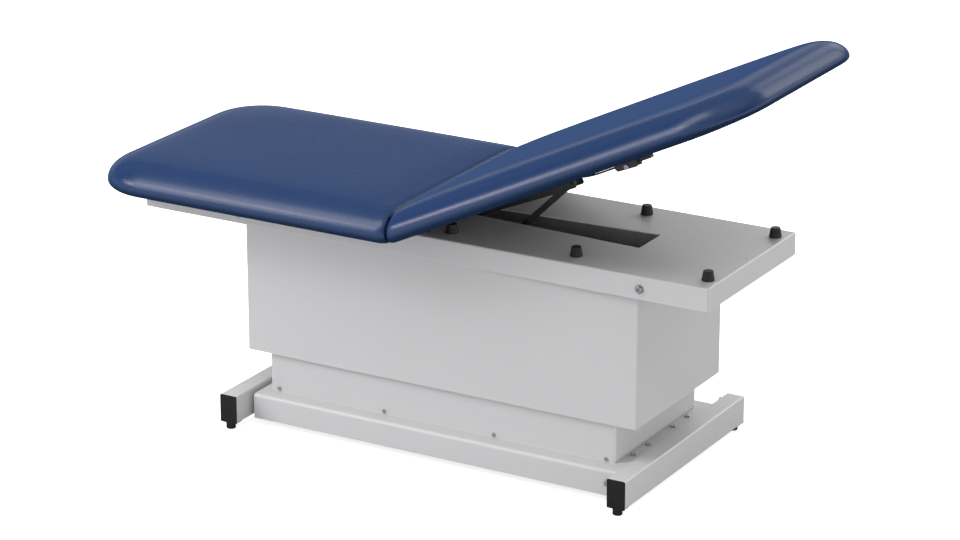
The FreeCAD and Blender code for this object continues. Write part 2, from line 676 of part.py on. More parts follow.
def bumper(tag, x, y):
    """Tapered rubber buffer with a blind screw hole."""
    tip_z = DIMS["deck_top"] + DIMS["bumper_height"]
    body = cone("BumperC_" + tag, "$bumper_base / 2", "$bumper_tip / 2", "$bumper_height",
                x, y, "$deck_top")
    rounded = fillet("BumperR_" + tag, body, 1.8, lambda e: at(e, "Z", tip_z))
    bore = cyl("BumperH_" + tag, "$bumper_screw_radius", 14.0, x, y, "$deck_top - 1")
    return cut("Bumper_" + tag, rounded, bore)


def bumper_screw(tag, x, y):
    """Screw up into a bumper, its head under the deck sheet."""
    shank = cyl("BumperShank_" + tag, "$bumper_screw_radius", "$bumper_screw_length",
                x, y, "$deck_top - $deck_sheet - 1")
    head = cyl("BumperHead_" + tag, 5.0, 3.5, x, y, "$deck_top - $deck_sheet - 3.5")
    return fuse("BumperScrew_" + tag, shank, head)


def side_screw(tag, x, sign):
    """Socket screw with washer on a long side of the deck."""
    washer_thick = 1.5
    outward = sign + "Y"
    inward = "Y" if sign else "-Y"
    z = "$side_screw_z"
    washer = cyl("SideWasher_" + tag, 11.0, washer_thick, x, sign + "$deck_width / 2", z, outward)
    head = domed("SideHead_" + tag, 8.5, 5.0, 3.0,
                 x, f"{sign}($deck_width / 2 + {washer_thick})", z, outward)
    shank = cyl("SideShank_" + tag, 3.4, 18.0, x, f"{sign}($deck_width / 2 + 3)", z, inward)
    key = hexa("SideKey_" + tag, 3.4, 6.0, x, f"{sign}($deck_width / 2 + 3.5)", z, outward)
    return cut("SideScrew_" + tag, fuse("SideSolid_" + tag, washer, head, shank), key)


node(deck(), "deck")
node(skirt("OuterSkirt", "$outer_skirt_length", "$outer_skirt_width", "$outer_skirt_bottom",
           "$deck_top - $deck_sheet", rounding=3.0), "upper_skirt")
node(group("Bumpers", [bumper(*place) for place in BUMPERS]), "rubber_bumpers")
node(group("BumperScrews", [bumper_screw(*place) for place in BUMPERS]), "bumper_screws")
node(group("SideScrews", [side_screw(f"{end}_{side}", end_sign + "$side_screw_x", sign)
                          for end, end_sign in reversed(ENDS) for side, sign in SIDES]),
     "deck_side_screws")


# ---- leg section ----------------------------------------------------------------

def spacer_frame():
    """Open frame between the deck and the leg board."""
    body = new_body("SpacerBody")
    sk = sketch(body, "SpacerPlan", "XY", "$deck_top",
                strip("$spacer_x_foot", "$spacer_x_joint", "$spacer_half"))
    pad(body, "SpacerPad", sk, "$board_bottom - $deck_top")
    sk = sketch(body, "SpacerHollow", "XY", "$board_bottom + 5",
                strip("$spacer_x_foot + $spacer_band", "$spacer_x_joint - $spacer_band",
                      "$spacer_half - $spacer_band"),
                [(x, y, "$bolt_hole_radius") for x, y in LEG_BOLTS])
    pocket(body, "SpacerPocket", sk, 60.0)
    return body


def leg_bolt(x, y):
    tag = f"{x:.0f}_{y:.0f}"
    return fuse("LegBolt_" + tag,
                cyl("LegBoltS_" + tag, "$bolt_radius", 41.0, x, y, "$deck_top - $deck_sheet - 2"),
                hexa("LegBoltH_" + tag, 6.0, 4.0, x, y, "$deck_top - $deck_sheet - 4"))


def board(name, x_out, x_in, bolts=()):
    """Board in a cushion's recess, with its two corners at x_out rounded."""
    body = new_body(name)
    sk = sketch(body, name + "Plan", "XY", "$board_bottom",
                strip(x_out, x_in, "$rim_half_inner - $board_gap"))
    pad(body, name + "Pad", sk, "$board_thick")
    far = value_of(x_out)
    round_edges(body, name + "Round", "$recess_corner - $board_gap",
                lambda e: along(e, "Z") and at(e, "X", far))
    if bolts:
        sk = sketch(body, name + "Holes", "XY", "$board_bottom + $board_thick + 2",
                    holes=[(x, y, "$bolt_hole_radius") for x, y in bolts])
        pocket(body, name + "Drill", sk, 30.0)
    return body


def recess_outline(x_out, x_in, inward, chords=6):
    """Outline with two rounded corners at the x_out end, each cut as short chords."""
    radius = DIMS["recess_corner"]
    near, far = [], []
    for i in range(chords + 1):
        angle = math.radians(90.0 * i / chords)
        x = f"{x_out} {inward} {radius * (1 - math.cos(angle))!r}"
        inset = radius * (1 - math.sin(angle))
        near.append((x, f"-($rim_half_inner) + {inset!r}"))
        far.append((x, f"$rim_half_inner - {inset!r}"))
    return near + [(x_in, "-($rim_half_inner)"), (x_in, "$rim_half_inner")] + far[::-1]


def cushion(name, x_out, x_in, inward, corner, lean, recess_out, recess_in):
    """Cushion with its joint face at x_in; `inward` is the sign of x from x_out to x_in."""
    outward = "-" if inward == "+" else "+"
    body = new_body(name)
    sk = sketch(body, name + "Plan", "XY", "$cushion_bottom",
                strip(x_out, x_in, "$cushion_width / 2"))
    pad(body, name + "Pad", sk, "$cushion_thick")
    far, near = value_of(x_out), value_of(x_in)
    bottom = DIMS["cushion_bottom"]
    top = bottom + DIMS["cushion_thick"]
    round_edges(body, name + "Corner", corner, lambda e: along(e, "Z") and at(e, "X", far))
    round_edges(body, name + "TopRound", "$cushion_top_round",
                lambda e: at(e, "Z", top) and not at(e, "X", near))
    round_edges(body, name + "LowRound", "$cushion_low_round",
                lambda e: at(e, "Z", bottom) and not at(e, "X", near))
    # above hinge level the joint face leans away from the joint
    past, lean_top = f"{x_in} {inward} 20", "$hinge_z + $lean_height"
    sk = sketch(body, name + "Wedge", "XZ", outline=[
        (x_in, "$hinge_z"), (past, "$hinge_z"), (past, lean_top),
        (f"{x_in} {outward} {lean}", lean_top)])
    pocket(body, name + "WedgeCut", sk, "$cushion_width + 20", mid=True)
    sk = sketch(body, name + "Recess", "XY", "$cushion_bottom - 1",
                recess_outline(recess_out, recess_in, inward))
    pocket(body, name + "RecessCut", sk,
           "$board_bottom + $board_thick - $cushion_bottom + 1", along_normal=True)
    return body


node(spacer_frame(), "leg_spacer_frame")
node(board("LegBoard", "$leg_recess_foot + $board_gap", "$leg_board_joint", LEG_BOLTS),
     "leg_board")
node(group("LegBolts", [leg_bolt(x, y) for x, y in LEG_BOLTS]), "leg_board_bolts")
node(cushion("LegCushion", "$leg_x_foot", "$leg_x_joint", "+", "$leg_corner", "$leg_lean",
             "$leg_recess_foot", "$leg_recess_joint"), "leg_cushion")


# ---- backrest hinge, deck half ----------------------------------------------------

def hinge_bracket(side, y):
    base = centred_box("HingeBase_" + side, "$hinge_base_length", "$hinge_base_width",
                       "$hinge_base_thick", "$hinge_base_x", y, "$deck_top")
    straps = ears(f"Hinge_{side}_", "$hinge_eye", "$hinge_ear", "$hinge_ear_y",
                  "$hinge_x", y, "$hinge_z", bottom="$deck_top", top="$hinge_z")
    holes = [bore_z(f"HingeHole_{side}_{k}", "$bolt_hole_radius", x, y, "$deck_top")
             for k, x in enumerate(HINGE_BOLT_X)]
    return cut("HingeBracket_" + side, fuse("HingeSolid_" + side, base, *straps),
               bore_y("HingeBore_" + side, "$pin_radius", "$hinge_x", y, "$hinge_z"), *holes)


def hinge_bolt(tag, x, y):
    return fuse("HingeBolt_" + tag,
                cyl("HingeBoltS_" + tag, "$bolt_radius", 12.0, x, y, "$deck_top - 6"),
                hexa("HingeBoltH_" + tag, 5.0, 3.6, x, y, "$deck_top + $hinge_base_thick"),
                hexa("HingeBoltN_" + tag, 5.5, 4.0, x, y, "$deck_top - $deck_sheet - 4"))


HINGES = [(side, sign + "$hinge_y") for side, sign in SIDES]
node(group("HingeBrackets", [hinge_bracket(side, y) for side, y in HINGES]), "hinge_brackets")
node(group("HingePins", [
    pin_y("HingePin_" + side, "$pin_radius", 46.0, head_radius=7.0, head_length=2.0,
          x="$hinge_x", y=y, z="$hinge_z") for side, y in HINGES]), "hinge_pins")
node(group("HingeBolts", [hinge_bolt(f"{side}_{k}", x, y) for side, y in HINGES
                          for k, x in enumerate(HINGE_BOLT_X)]), "hinge_bolts")

# ---- lower anchor of the prop -------------------------------------------------------
hanger_plate = centred_box("HangerPlate", "$hanger_length", "$hanger_width", "$hanger_thick",
                           "$hanger_x", 0, "$rail_bottom - $hanger_thick")
hanger_ears = ears("Hanger", "$hanger_eye", "$hanger_ear", "$hanger_ear_y", "$prop_low_x", 0,
                   "$prop_low_z", bottom="$prop_low_z", top="$rail_bottom")
node(cut("Hanger", fuse("HangerSolid", hanger_plate, *hanger_ears),
         bore_y("HangerBore", "$prop_pin_radius", "$prop_low_x", 0, "$prop_low_z")),
     "prop_hanger")
node(pin_y("PropLowPin", "$prop_pin_radius", 46.0, head_radius=6.5, head_length=3.0,
           x="$prop_low_x", y=0, z="$prop_low_z"), "prop_lower_pin")

# ---- prop sleeve and bar, built along X from their pivots, then turned to prop_angle ----
sleeve_outer = box("SleeveO", "$prop_sleeve_length + $sleeve_heel", "$sleeve_width",
                   "$sleeve_depth", "-$sleeve_heel", "-$sleeve_width / 2", "-$sleeve_depth / 2")
sleeve_round = fillet("SleeveR", sleeve_outer, 2.5, lambda e: along(e, "X"))
sleeve_inner = box("SleeveI", "$prop_sleeve_length", "$sleeve_width - 2 * $sleeve_wall",
                   "$sleeve_depth - 2 * $sleeve_wall", "$sleeve_heel",
                   "-$sleeve_width / 2 + $sleeve_wall", "-$sleeve_depth / 2 + $sleeve_wall")
sleeve = cut("Sleeve", sleeve_round, sleeve_inner,
             bore_y("SleeveBore", "$prop_pin_radius + $running_gap", 0.0, 0, 0.0))
turn(sleeve, "prop_angle", "$prop_low_x", "$prop_low_z")
node(sleeve, "prop_sleeve")

bar_blank = box("PropBarO", "$prop_bar_length + $prop_bar_nose", "$prop_bar_width",
                "$prop_bar_depth", "-$prop_bar_length", "-$prop_bar_width / 2",
                "-$prop_bar_depth / 2")
bar_round = fillet("PropBarR", bar_blank, 1.5, lambda e: along(e, "X"))
prop_bar = cut("PropBar", bar_round,
               bore_y("PropBarBore", "$prop_pin_radius + $running_gap", 0.0, 0, 0.0))
# upper pivot: its flat-drawn place on the channel turned about the hinge
turn(prop_bar, "prop_angle",
     "$hinge_x + ($prop_top_x - $hinge_x) * cos($tilt_rest * 1deg)"
     " - ($prop_top_z - $hinge_z) * sin($tilt_rest * 1deg)",
     "$hinge_z + ($prop_top_x - $hinge_x) * sin($tilt_rest * 1deg)"
     " + ($prop_top_z - $hinge_z) * cos($tilt_rest * 1deg)")
node(prop_bar, "prop_bar")


# =============================== BACKREST ======================================
# drawn lying flat, then turned by tilt_rest about the hinge line

def hinge_leaf(side, y):
    """Knuckle on the hinge pin, its web, and the plate under the backrest board."""
    knuckle = cyl_y("LeafKnuckle_" + side, "$hinge_eye", "$knuckle_width",
                    "$hinge_x", y, "$hinge_z")
    web = centred_box("LeafWeb_" + side, 12.0, "$knuckle_width", "$board_bottom - $hinge_z",
                      "$hinge_x + 2", y, "$hinge_z")
    plate = box("LeafPlate_" + side, "2 - $hinge_x", "$leaf_width", "$leaf_thick",
                "$hinge_x", y + " - $leaf_width / 2", "$board_bottom - $leaf_thick")
    return cut("Leaf_" + side, fuse("LeafSolid_" + side, knuckle, web, plate),
               bore_y("LeafBore_" + side, "$pin_radius + $running_gap",
                      "$hinge_x", y, "$hinge_z"))


def backrest_channel():
    """Inverted channel: flanged web against the board and two tapered cheeks."""
    body = new_body("ChannelBody")
    nose_drop = 45.5
    sk = sketch(body, "ChannelSide", "XZ", outline=[
        ("$channel_x_foot", "$board_bottom"), ("$channel_x_foot", "$cushion_bottom - 33"),
        (214.0, "$cushion_bottom - 44.5"),
        ("$channel_x_head", f"$cushion_bottom - {nose_drop}"),
        ("$channel_x_head", "$board_bottom")])
    pad(body, "ChannelPad", sk, "$channel_width", mid=True)
    nose_x, nose_z = DIMS["channel_x_head"], DIMS["cushion_bottom"] - nose_drop
    round_edges(body, "ChannelNose", 6.0,
                lambda e: along(e, "Y") and at(e, "X", nose_x) and at(e, "Z", nose_z))
    sk = sketch(body, "ChannelHollow", "XZ", outline=rect(
        -30.0, "$cushion_bottom - 80", 305.0, "$board_bottom - $channel_web"))
    pocket(body, "ChannelPocket", sk, "$channel_width - 2 * $channel_cheek", mid=True)
    sk = sketch(body, "ChannelFlange", "XY", "$board_bottom - $channel_web",
                strip("$channel_x_foot", "$channel_x_head", "$channel_flange_half"))
    pad(body, "ChannelFlangePad", sk, "$channel_web")
    sk = sketch(body, "ChannelPinHole", "XZ",
                holes=[("$prop_top_x", "$prop_top_z", "$prop_pin_radius")])
    pocket(body, "ChannelPinPocket", sk, 80.0, mid=True)
    return body


def lever_hole(body, name, radius):
    """Hole along Y through a release part, on the lever's pivot."""
    sk = sketch(body, name, "XZ", "-$lever_y - 30", holes=[("$lever_x", "$lever_z", radius)])
    pocket(body, name + "Pocket", sk, 60.0, along_normal=True)


def release_bracket():
    """Bracket under the near edge of the board, open below and at its ends."""
    body = new_body("ReleaseBody")
    sk = sketch(body, "ReleaseSide", "XZ", "-$lever_y - $release_width", [
        ("$lever_x - 30", "$board_bottom"), ("$lever_x - 30", "$cushion_bottom - 8"),
        ("$lever_x - 26", "$cushion_bottom - 15.4"), ("$lever_x + 26", "$cushion_bottom - 17.7"),
        ("$lever_x + 30", "$cushion_bottom - 10"), ("$lever_x + 30", "$board_bottom")])
    pad(body, "ReleasePad", sk, "$release_width")
    sk = sketch(body, "ReleaseInside", "XZ", "-$lever_y - $release_width + $release_sheet",
                rect("$lever_x - 40", "$cushion_bottom - 40",
                     "$lever_x + 60", "$board_bottom - $release_web"))
    pocket(body, "ReleaseHollow", sk, "$release_width - 2 * $release_sheet", along_normal=True)
    lever_hole(body, "ReleaseHole", "$bolt_radius")
    return body


def release_bolt():
    place = ("$lever_x", "$lever_y", "$lever_z")
    head = domed("ReleaseBoltHead", 6.0, 4.0, 1.2, *place, axis="-Y")
    return fuse("ReleaseBolt", cyl("ReleaseBoltS", "$bolt_radius", 27.0, *place, axis="Y"), head,
                hexa("ReleaseBoltN", 5.5, 4.0, "$lever_x", "$lever_y + $release_width",
                     "$lever_z", "Y"))


def release_lever():
    body = new_body("LeverBody")
    reach = 65.0
    tip_x = f"$lever_x + {reach}"
    sk = sketch(body, "LeverSide", "XZ", "-$lever_y - $lever_inset", [
        ("$lever_x - 7", "$lever_z + 5"), ("$lever_x - 7", "$lever_z - 5"),
        ("$lever_x + 6", "$lever_z - 6"), ("$lever_x + 30", "$cushion_bottom - 13"),
        ("$lever_x + 34", "$cushion_bottom - 10.4"), (tip_x, "$cushion_bottom - 10.4"),
        (tip_x, "$cushion_bottom - 3.4"), ("$lever_x + 24", "$cushion_bottom - 3.4"),
        ("$lever_x + 8", "$lever_z + 5.5")])
    pad(body, "LeverPad", sk, "$lever_width")
    round_edges(body, "LeverTip", 2.0,
                lambda e: along(e, "Y") and at(e, "X", DIMS["lever_x"] + reach))
    lever_hole(body, "LeverHole", "$bolt_radius + $running_gap")
    return body


# centre line of the release cable: x, y, z, towards the lever
CABLE_PATH = [
    (270, 0, 562), (350, -140, 562), (425, -258, 559), (470, -285, 550.5),
    (500, -289.5, 547.6), (530, -289.5, 547.2), (576, -289.5, 546.0),
]


def release_cable(radius=2.2):
    points = [Vector(*point) for point in CABLE_PATH]
    curve = Part.BSplineCurve()
    curve.interpolate(points)
    tangent = curve.tangent(curve.FirstParameter)[0]
    ring = Part.Wire([Part.Circle(points[0], tangent, radius).toShape()])
    obj = doc.addObject("Part::Feature", "ReleaseCable")
    obj.Shape = Part.Wire([curve.toShape()]).makePipeShell([ring], True, True)
    return obj


raised(cushion("BackCushion", "$back_x_head", "$back_x_joint", "-", "$head_corner",
               "$back_lean", "$back_recess_head", "$back_recess_joint"), "backrest_cushion")
raised(board("BackBoard", "$back_recess_head - $board_gap", "$back_board_joint"),
       "backrest_board")
raised(group("Leaves", [hinge_leaf(side, y) for side, y in HINGES]), "hinge_leaves")
raised(backrest_channel(), "backrest_channel")
raised(pin_y("PropTopPin", "$prop_pin_radius", 42.0, head_radius=6.5, head_length=2.5,
             x="$prop_top_x", y=0, z="$prop_top_z", overhang=0.5), "prop_upper_pin")
raised(release_bracket(), "release_bracket")
raised(release_bolt(), "release_bolt")
raised(release_lever(), "release_lever")
raised(release_cable(), "release_cable")

# ---- final placements -----------------------------------------------------------
for obj in RAISED:
    turn(obj, "tilt_rest",
         "$hinge_x - $hinge_x * cos($tilt_rest * 1deg) + $hinge_z * sin($tilt_rest * 1deg)",
         "$hinge_z - $hinge_x * sin($tilt_rest * 1deg) - $hinge_z * cos($tilt_rest * 1deg)")
for obj in NODES:
    if obj not in TURNED:
        obj.setExpression("Placement.Base.x", expr("$frame_shift"))
doc.recompute()

# ---- checks, then one STEP file per piece -----------------------------------------
failed = [obj.Label for obj in doc.Objects if "Invalid" in obj.State or "Error" in obj.State]
if failed:
    raise RuntimeError("failed objects: " + ", ".join(failed))
labels = [obj.Label for obj in NODES]
if len(set(labels)) != len(labels):
    raise RuntimeError("labels repeat")
for obj in NODES:
    if obj.Shape.isNull() or not obj.Shape.isValid() or not obj.Shape.Solids:
        raise RuntimeError("bad shape: " + obj.Label)
    if any(solid.Volume <= 0 for solid in obj.Shape.Solids):
        raise RuntimeError("inside-out solid: " + obj.Label)

os.makedirs("parts", exist_ok=True)
for obj in NODES:
    obj.Shape.exportStep(f"parts/{obj.Label}.step")
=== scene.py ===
"""An upholstered lifting couch: a flat leg section and a backrest raised about a cross hinge.

X runs along the couch, from the foot (-X) to the head (+X). Y runs across it, with -Y the side
that faces the camera. Z is up and the floor is z = 0. The loaded CAD pieces get materials, and
the two cushions are rebuilt as soft covers with a stapled hem underneath.
"""
import bpy
import bmesh
import json
import math
import random
import numpy as np
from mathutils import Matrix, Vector
from mathutils.bvhtree import BVHTree


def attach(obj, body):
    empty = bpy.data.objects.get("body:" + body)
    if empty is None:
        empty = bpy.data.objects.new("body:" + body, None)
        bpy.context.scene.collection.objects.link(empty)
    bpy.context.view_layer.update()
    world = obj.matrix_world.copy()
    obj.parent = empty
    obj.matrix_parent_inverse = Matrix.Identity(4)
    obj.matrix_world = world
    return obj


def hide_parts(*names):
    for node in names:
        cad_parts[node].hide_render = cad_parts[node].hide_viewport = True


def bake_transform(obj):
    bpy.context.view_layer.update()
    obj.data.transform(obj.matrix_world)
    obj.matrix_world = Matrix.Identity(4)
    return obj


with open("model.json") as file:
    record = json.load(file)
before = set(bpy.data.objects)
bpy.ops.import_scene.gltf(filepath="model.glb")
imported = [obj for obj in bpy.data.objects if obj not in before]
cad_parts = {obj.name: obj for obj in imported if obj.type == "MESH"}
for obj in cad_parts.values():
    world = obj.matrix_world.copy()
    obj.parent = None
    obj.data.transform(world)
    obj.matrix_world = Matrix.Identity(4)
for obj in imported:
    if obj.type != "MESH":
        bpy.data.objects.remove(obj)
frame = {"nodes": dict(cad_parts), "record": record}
NODES = frame["nodes"]
SLOT = {part["node"]: part["material_slot"] for part in frame["record"]["subparts"]}


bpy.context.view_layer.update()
random.seed(7)
np.random.seed(7)

MM = 0.001
BASE_X = 0.0407                     # X of the base centre
TILT = math.radians(25.7)           # rest angle of the backrest
HINGE_X = -0.0549 + BASE_X          # hinge line of the backrest
HINGE_Z = 0.5623


# ------------------------------------------------------------------ node helpers
def new_tree(owner):
    """Empty node tree of a material or world."""
    owner.use_nodes = True
    owner.node_tree.nodes.clear()
    return owner.node_tree


def add_node(tree, kind, inputs=None, **settings):
    """New node; each input, by name or index, is a plain value or a socket to link from."""
    node = tree.nodes.new(kind)
    for key, value in settings.items():
        setattr(node, key, value)
    for key, value in (inputs or {}).items():
        if isinstance(value, bpy.types.NodeSocket):
            tree.links.new(value, node.inputs[key])
        else:
            node.inputs[key].default_value = value
    return node


def calc(tree, operation, *values, clamp=False):
    return add_node(tree, "ShaderNodeMath", dict(enumerate(values)),
                    operation=operation, use_clamp=clamp).outputs[0]


def mix_colors(tree, factor, first, second, blend_type="MIX"):
    return add_node(tree, "ShaderNodeMix", {0: factor, 6: first, 7: second},
                    data_type="RGBA", blend_type=blend_type).outputs[2]


def mix_shaders(tree, factor, first, second):
    return add_node(tree, "ShaderNodeMixShader", {0: factor, 1: first, 2: second}).outputs[0]


# ------------------------------------------------------------------ materials
def srgb(*channels):
    """Linear RGBA from 0-255 sRGB channels."""
    def linear(c):
        return c / 12.92 if c <= 0.04045 else ((c + 0.055) / 1.055) ** 2.4
    return tuple(linear(c / 255) for c in channels) + (1.0,)


MAT = {}


class Finish:
    """A Principled material with layers of colour, roughness and bump added one by one."""

    def __init__(self, name, color, rough, metal=0.0, specular=0.5, coat=0.0, coat_rough=0.2):
        material = bpy.data.materials.new(name)
        self.tree = new_tree(material)
        self.color = srgb(*color)
        self.rough = rough
        self.shader = self.node("ShaderNodeBsdfPrincipled", {
            "Base Color": self.color, "Roughness": rough, "Metallic": metal,
            "Specular IOR Level": specular, "Coat Weight": coat, "Coat Roughness": coat_rough})
        self.node("ShaderNodeOutputMaterial", {0: self.shader.outputs[0]})
        self.place = self.node("ShaderNodeTexCoord").outputs["Object"]
        self.color_out = None
        self.normal_out = None
        MAT[name] = material

    def node(self, kind, inputs=None, **settings):
        return add_node(self.tree, kind, inputs, **settings)

    def drive(self, socket, source):
        self.tree.links.new(source, self.shader.inputs[socket])

    def noise(self, scale, detail=4.0, rough=0.5, distort=0.0, stretch=None):
        place = self.place
        if stretch:
            place = self.node("ShaderNodeMapping", {"Vector": place, "Scale": stretch}).outputs[0]
        return self.node("ShaderNodeTexNoise", {
            "Vector": place, "Scale": scale, "Detail": detail,
            "Roughness": rough, "Distortion": distort}).outputs["Fac"]

    def ramp(self, source, span, to=(0, 1)):
        """Maps the source range span onto the range to."""
        return self.node("ShaderNodeMapRange", {
            "Value": source, "From Min": span[0], "From Max": span[1],
            "To Min": to[0], "To Max": to[1]}).outputs["Result"]

    def multiply(self, first, second):
        return calc(self.tree, "MULTIPLY", first, second)

    def set_color(self, factor, first, second):
        self.color_out = mix_colors(self.tree, factor, first, second)
        self.drive("Base Color", self.color_out)

    def tint(self, factor, color):
        """Lays a colour over the present one."""
        self.set_color(factor, self.color_out, color)

    def drift(self, scale, amount):
        """Slow light and dark variation of the base colour."""
        dark = tuple(c * (1 - amount) for c in self.color[:3]) + (1,)
        light = tuple(c * (1 + amount) for c in self.color[:3]) + (1,)
        self.set_color(self.ramp(self.noise(scale, detail=3.0), span=(0.3, 0.7)), dark, light)

    def speck(self, scale, span, color, amount):
        self.tint(self.ramp(self.noise(scale, detail=2.0), span, to=(0, amount)), srgb(*color))

    def rough_drift(self, scale, amount, detail=3.0, stretch=None):
        self.drive("Roughness", self.ramp(
            self.noise(scale, detail, stretch=stretch), span=(0.3, 0.7),
            to=(self.rough - amount, self.rough + amount)))

    def bump_from(self, height, strength, distance):
        """Adds a bump layer on top of the earlier ones."""
        inputs = {"Height": height, "Strength": strength, "Distance": distance}
        if self.normal_out:
            inputs["Normal"] = self.normal_out
        self.normal_out = self.node("ShaderNodeBump", inputs).outputs["Normal"]
        self.drive("Normal", self.normal_out)

    def bump(self, scale, strength, distance, detail=4.0, stretch=None):
        self.bump_from(self.noise(scale, detail, stretch=stretch), strength, distance)

    def edge_wear(self, color, span, amount):
        """Patchy wear where the pointiness of the surface lies in or above span."""
        edge = self.node("ShaderNodeNewGeometry").outputs["Pointiness"]
        patches = self.ramp(self.noise(scale=90), span=(0.35, 0.65), to=(0.1, amount))
        self.tint(self.multiply(self.ramp(edge, span), patches), srgb(*color))


def vinyl_blue():
    """Satin upholstery skin with a very fine grain."""
    vinyl = Finish("vinyl_blue", color=(31, 58, 101), rough=0.27, specular=0.4)
    vinyl.drift(scale=3.2, amount=0.05)
    facing = vinyl.node("ShaderNodeLayerWeight", {"Blend": 0.5}).outputs["Facing"]
    normal = vinyl.node("ShaderNodeNewGeometry").outputs["Normal"]
    upward = vinyl.node("ShaderNodeSeparateXYZ", {0: normal}).outputs[2]
    open_sky = vinyl.node("ShaderNodeAmbientOcclusion", {"Distance": 0.045},
                          samples=5).outputs["AO"]
    # the highlight fades at grazing angles, on downward faces and in creases
    shine = vinyl.multiply(vinyl.ramp(facing, span=(0.20, 0.60), to=(0.42, 0.02)),
                           vinyl.ramp(facing, span=(0.76, 0.90), to=(1.0, 0.0)))
    shine = vinyl.multiply(shine, vinyl.ramp(upward, span=(-0.15, 0.20), to=(0.25, 1.0)))
    shine = vinyl.multiply(shine, vinyl.ramp(open_sky, span=(0.35, 0.85), to=(0.1, 1.0)))
    vinyl.drive("Specular IOR Level", shine)
    # painted light and shade in the colour: a painted sheen lightens it at grazing angles, painted
    # shade darkens it on downward faces where the cover turns under, and deeper painted shade
    # fills the creases
    # painted sheen: paler blue at grazing angles
    vinyl.tint(vinyl.ramp(facing, span=(0.76, 0.92)), srgb(56, 77, 116))
    # painted shade: darker blue where the normal turns downward
    vinyl.tint(vinyl.ramp(upward, span=(-0.12, 0.34), to=(0.85, 0.0)), srgb(18, 40, 70))
    # painted shade: near-black blue in creases, driven by ambient occlusion
    vinyl.tint(vinyl.ramp(open_sky, span=(0.35, 0.95), to=(0.75, 0.0)), srgb(12, 24, 44))
    cells = vinyl.node("ShaderNodeTexVoronoi", {"Vector": vinyl.place, "Scale": 900},
                       feature="DISTANCE_TO_EDGE").outputs["Distance"]
    vinyl.bump_from(vinyl.ramp(cells, span=(0.0, 0.25)), strength=0.035, distance=0.00012)
    vinyl.rough_drift(scale=10, amount=0.015)


def powder_coat_white():
    """Light grey powder coat with a fine orange peel."""
    coat = Finish("powder_coat_white", color=(214, 214, 215), rough=0.42, coat=0.12,
                  coat_rough=0.18)
    coat.drift(scale=2.2, amount=0.012)
    coat.speck(scale=900, span=(0.70, 0.80), color=(204, 204, 204), amount=0.3)
    coat.bump(scale=420, strength=0.16, distance=0.0002, detail=3)
    coat.bump(scale=1500, strength=0.05, distance=0.0001, detail=3)
    # painted highlight: the colour is lightened to near white along the folded edges, where the
    # bevel normal turns away from the face normal
    rounded = coat.node("ShaderNodeBevel", {"Radius": 0.0026}, samples=3).outputs[0]
    normal = coat.node("ShaderNodeNewGeometry").outputs["Normal"]
    match = coat.node("ShaderNodeVectorMath", {0: rounded, 1: normal},
                      operation="DOT_PRODUCT").outputs["Value"]
    coat.tint(coat.ramp(match, span=(0.995, 0.86), to=(0.0, 0.85)), srgb(250, 250, 250))
    coat.rough_drift(scale=700, amount=0.04)


def dark_plastic_and_rubber():
    cap = Finish("cap_plastic", color=(20, 20, 21), rough=0.42, specular=0.35)
    cap.drift(scale=40, amount=0.15)
    cap.bump(scale=900, strength=0.22, distance=0.0002)
    cap.rough_drift(scale=300, amount=0.06)

    rubber = Finish("bumper_rubber", color=(21, 22, 25), rough=0.5, specular=0.4)
    rubber.drift(scale=60, amount=0.2)
    rubber.speck(scale=500, span=(0.66, 0.78), color=(60, 60, 64), amount=0.35)
    rubber.bump(scale=700, strength=0.3, distance=0.0003)
    rubber.rough_drift(scale=120, amount=0.1)


def worn_steels():
    zinc = Finish("zinc_steel", color=(170, 172, 176), rough=0.28, metal=1.0)
    zinc.drift(scale=120, amount=0.12)
    zinc.rough_drift(scale=260, amount=0.1, detail=5)
    zinc.bump(scale=900, strength=0.12, distance=0.0001)
    zinc.edge_wear(color=(225, 226, 228), span=(0.54, 0.66), amount=0.8)

    black = Finish("black_steel", color=(30, 31, 33), rough=0.40, coat=0.1)
    black.drift(scale=18, amount=0.15)
    black.bump(scale=520, strength=0.2, distance=0.0002)
    black.rough_drift(scale=90, amount=0.07)
    black.edge_wear(color=(96, 97, 100), span=(0.57, 0.68), amount=0.6)

    grey = Finish("frame_steel", color=(150, 151, 154), rough=0.5)
    grey.drift(scale=9, amount=0.06)
    grey.bump(scale=380, strength=0.2, distance=0.0002)
    grey.rough_drift(scale=60, amount=0.08)
    grey.edge_wear(color=(130, 130, 132), span=(0.57, 0.68), amount=0.5)


def column_steel():
    """Drawn steel, its streaks running up the column."""
    steel = Finish("column_steel", color=(172, 174, 178), rough=0.30, metal=0.9)
    steel.drift(scale=14, amount=0.08)
    steel.rough_drift(scale=50, amount=0.12, detail=6, stretch=(60, 60, 1.2))
    steel.bump(scale=40, strength=0.12, distance=0.0001, detail=6, stretch=(60, 60, 1.0))


def drive_parts():
    """Motor can, lead screw, pulley and nut."""
    can = Finish("motor_can", color=(70, 73, 78), rough=0.38, metal=0.3)
    can.drift(scale=20, amount=0.1)
    can.bump(scale=420, strength=0.18, distance=0.0002)
    can.rough_drift(scale=80, amount=0.08)

    screw = Finish("machined_steel", color=(186, 187, 190), rough=0.24, metal=1.0)
    screw.rough_drift(scale=60, amount=0.1, detail=5, stretch=(1, 1, 90))
    # tight rings along the screw, like a rolled thread
    rings = screw.node("ShaderNodeTexWave", {"Vector": screw.place, "Scale": 80},
                       wave_type="BANDS", bands_direction="Z").outputs["Fac"]
    screw.bump_from(rings, strength=0.5, distance=0.0006)

    pulley = Finish("pulley_alloy", color=(190, 192, 196), rough=0.32, metal=1.0)
    pulley.rough_drift(scale=90, amount=0.1, detail=5)
    pulley.bump(scale=500, strength=0.1, distance=0.0001)

    nut = Finish("nut_bronze", color=(186, 146, 84), rough=0.34, metal=1.0)
    nut.drift(scale=60, amount=0.12)
    nut.rough_drift(scale=120, amount=0.1, detail=5)


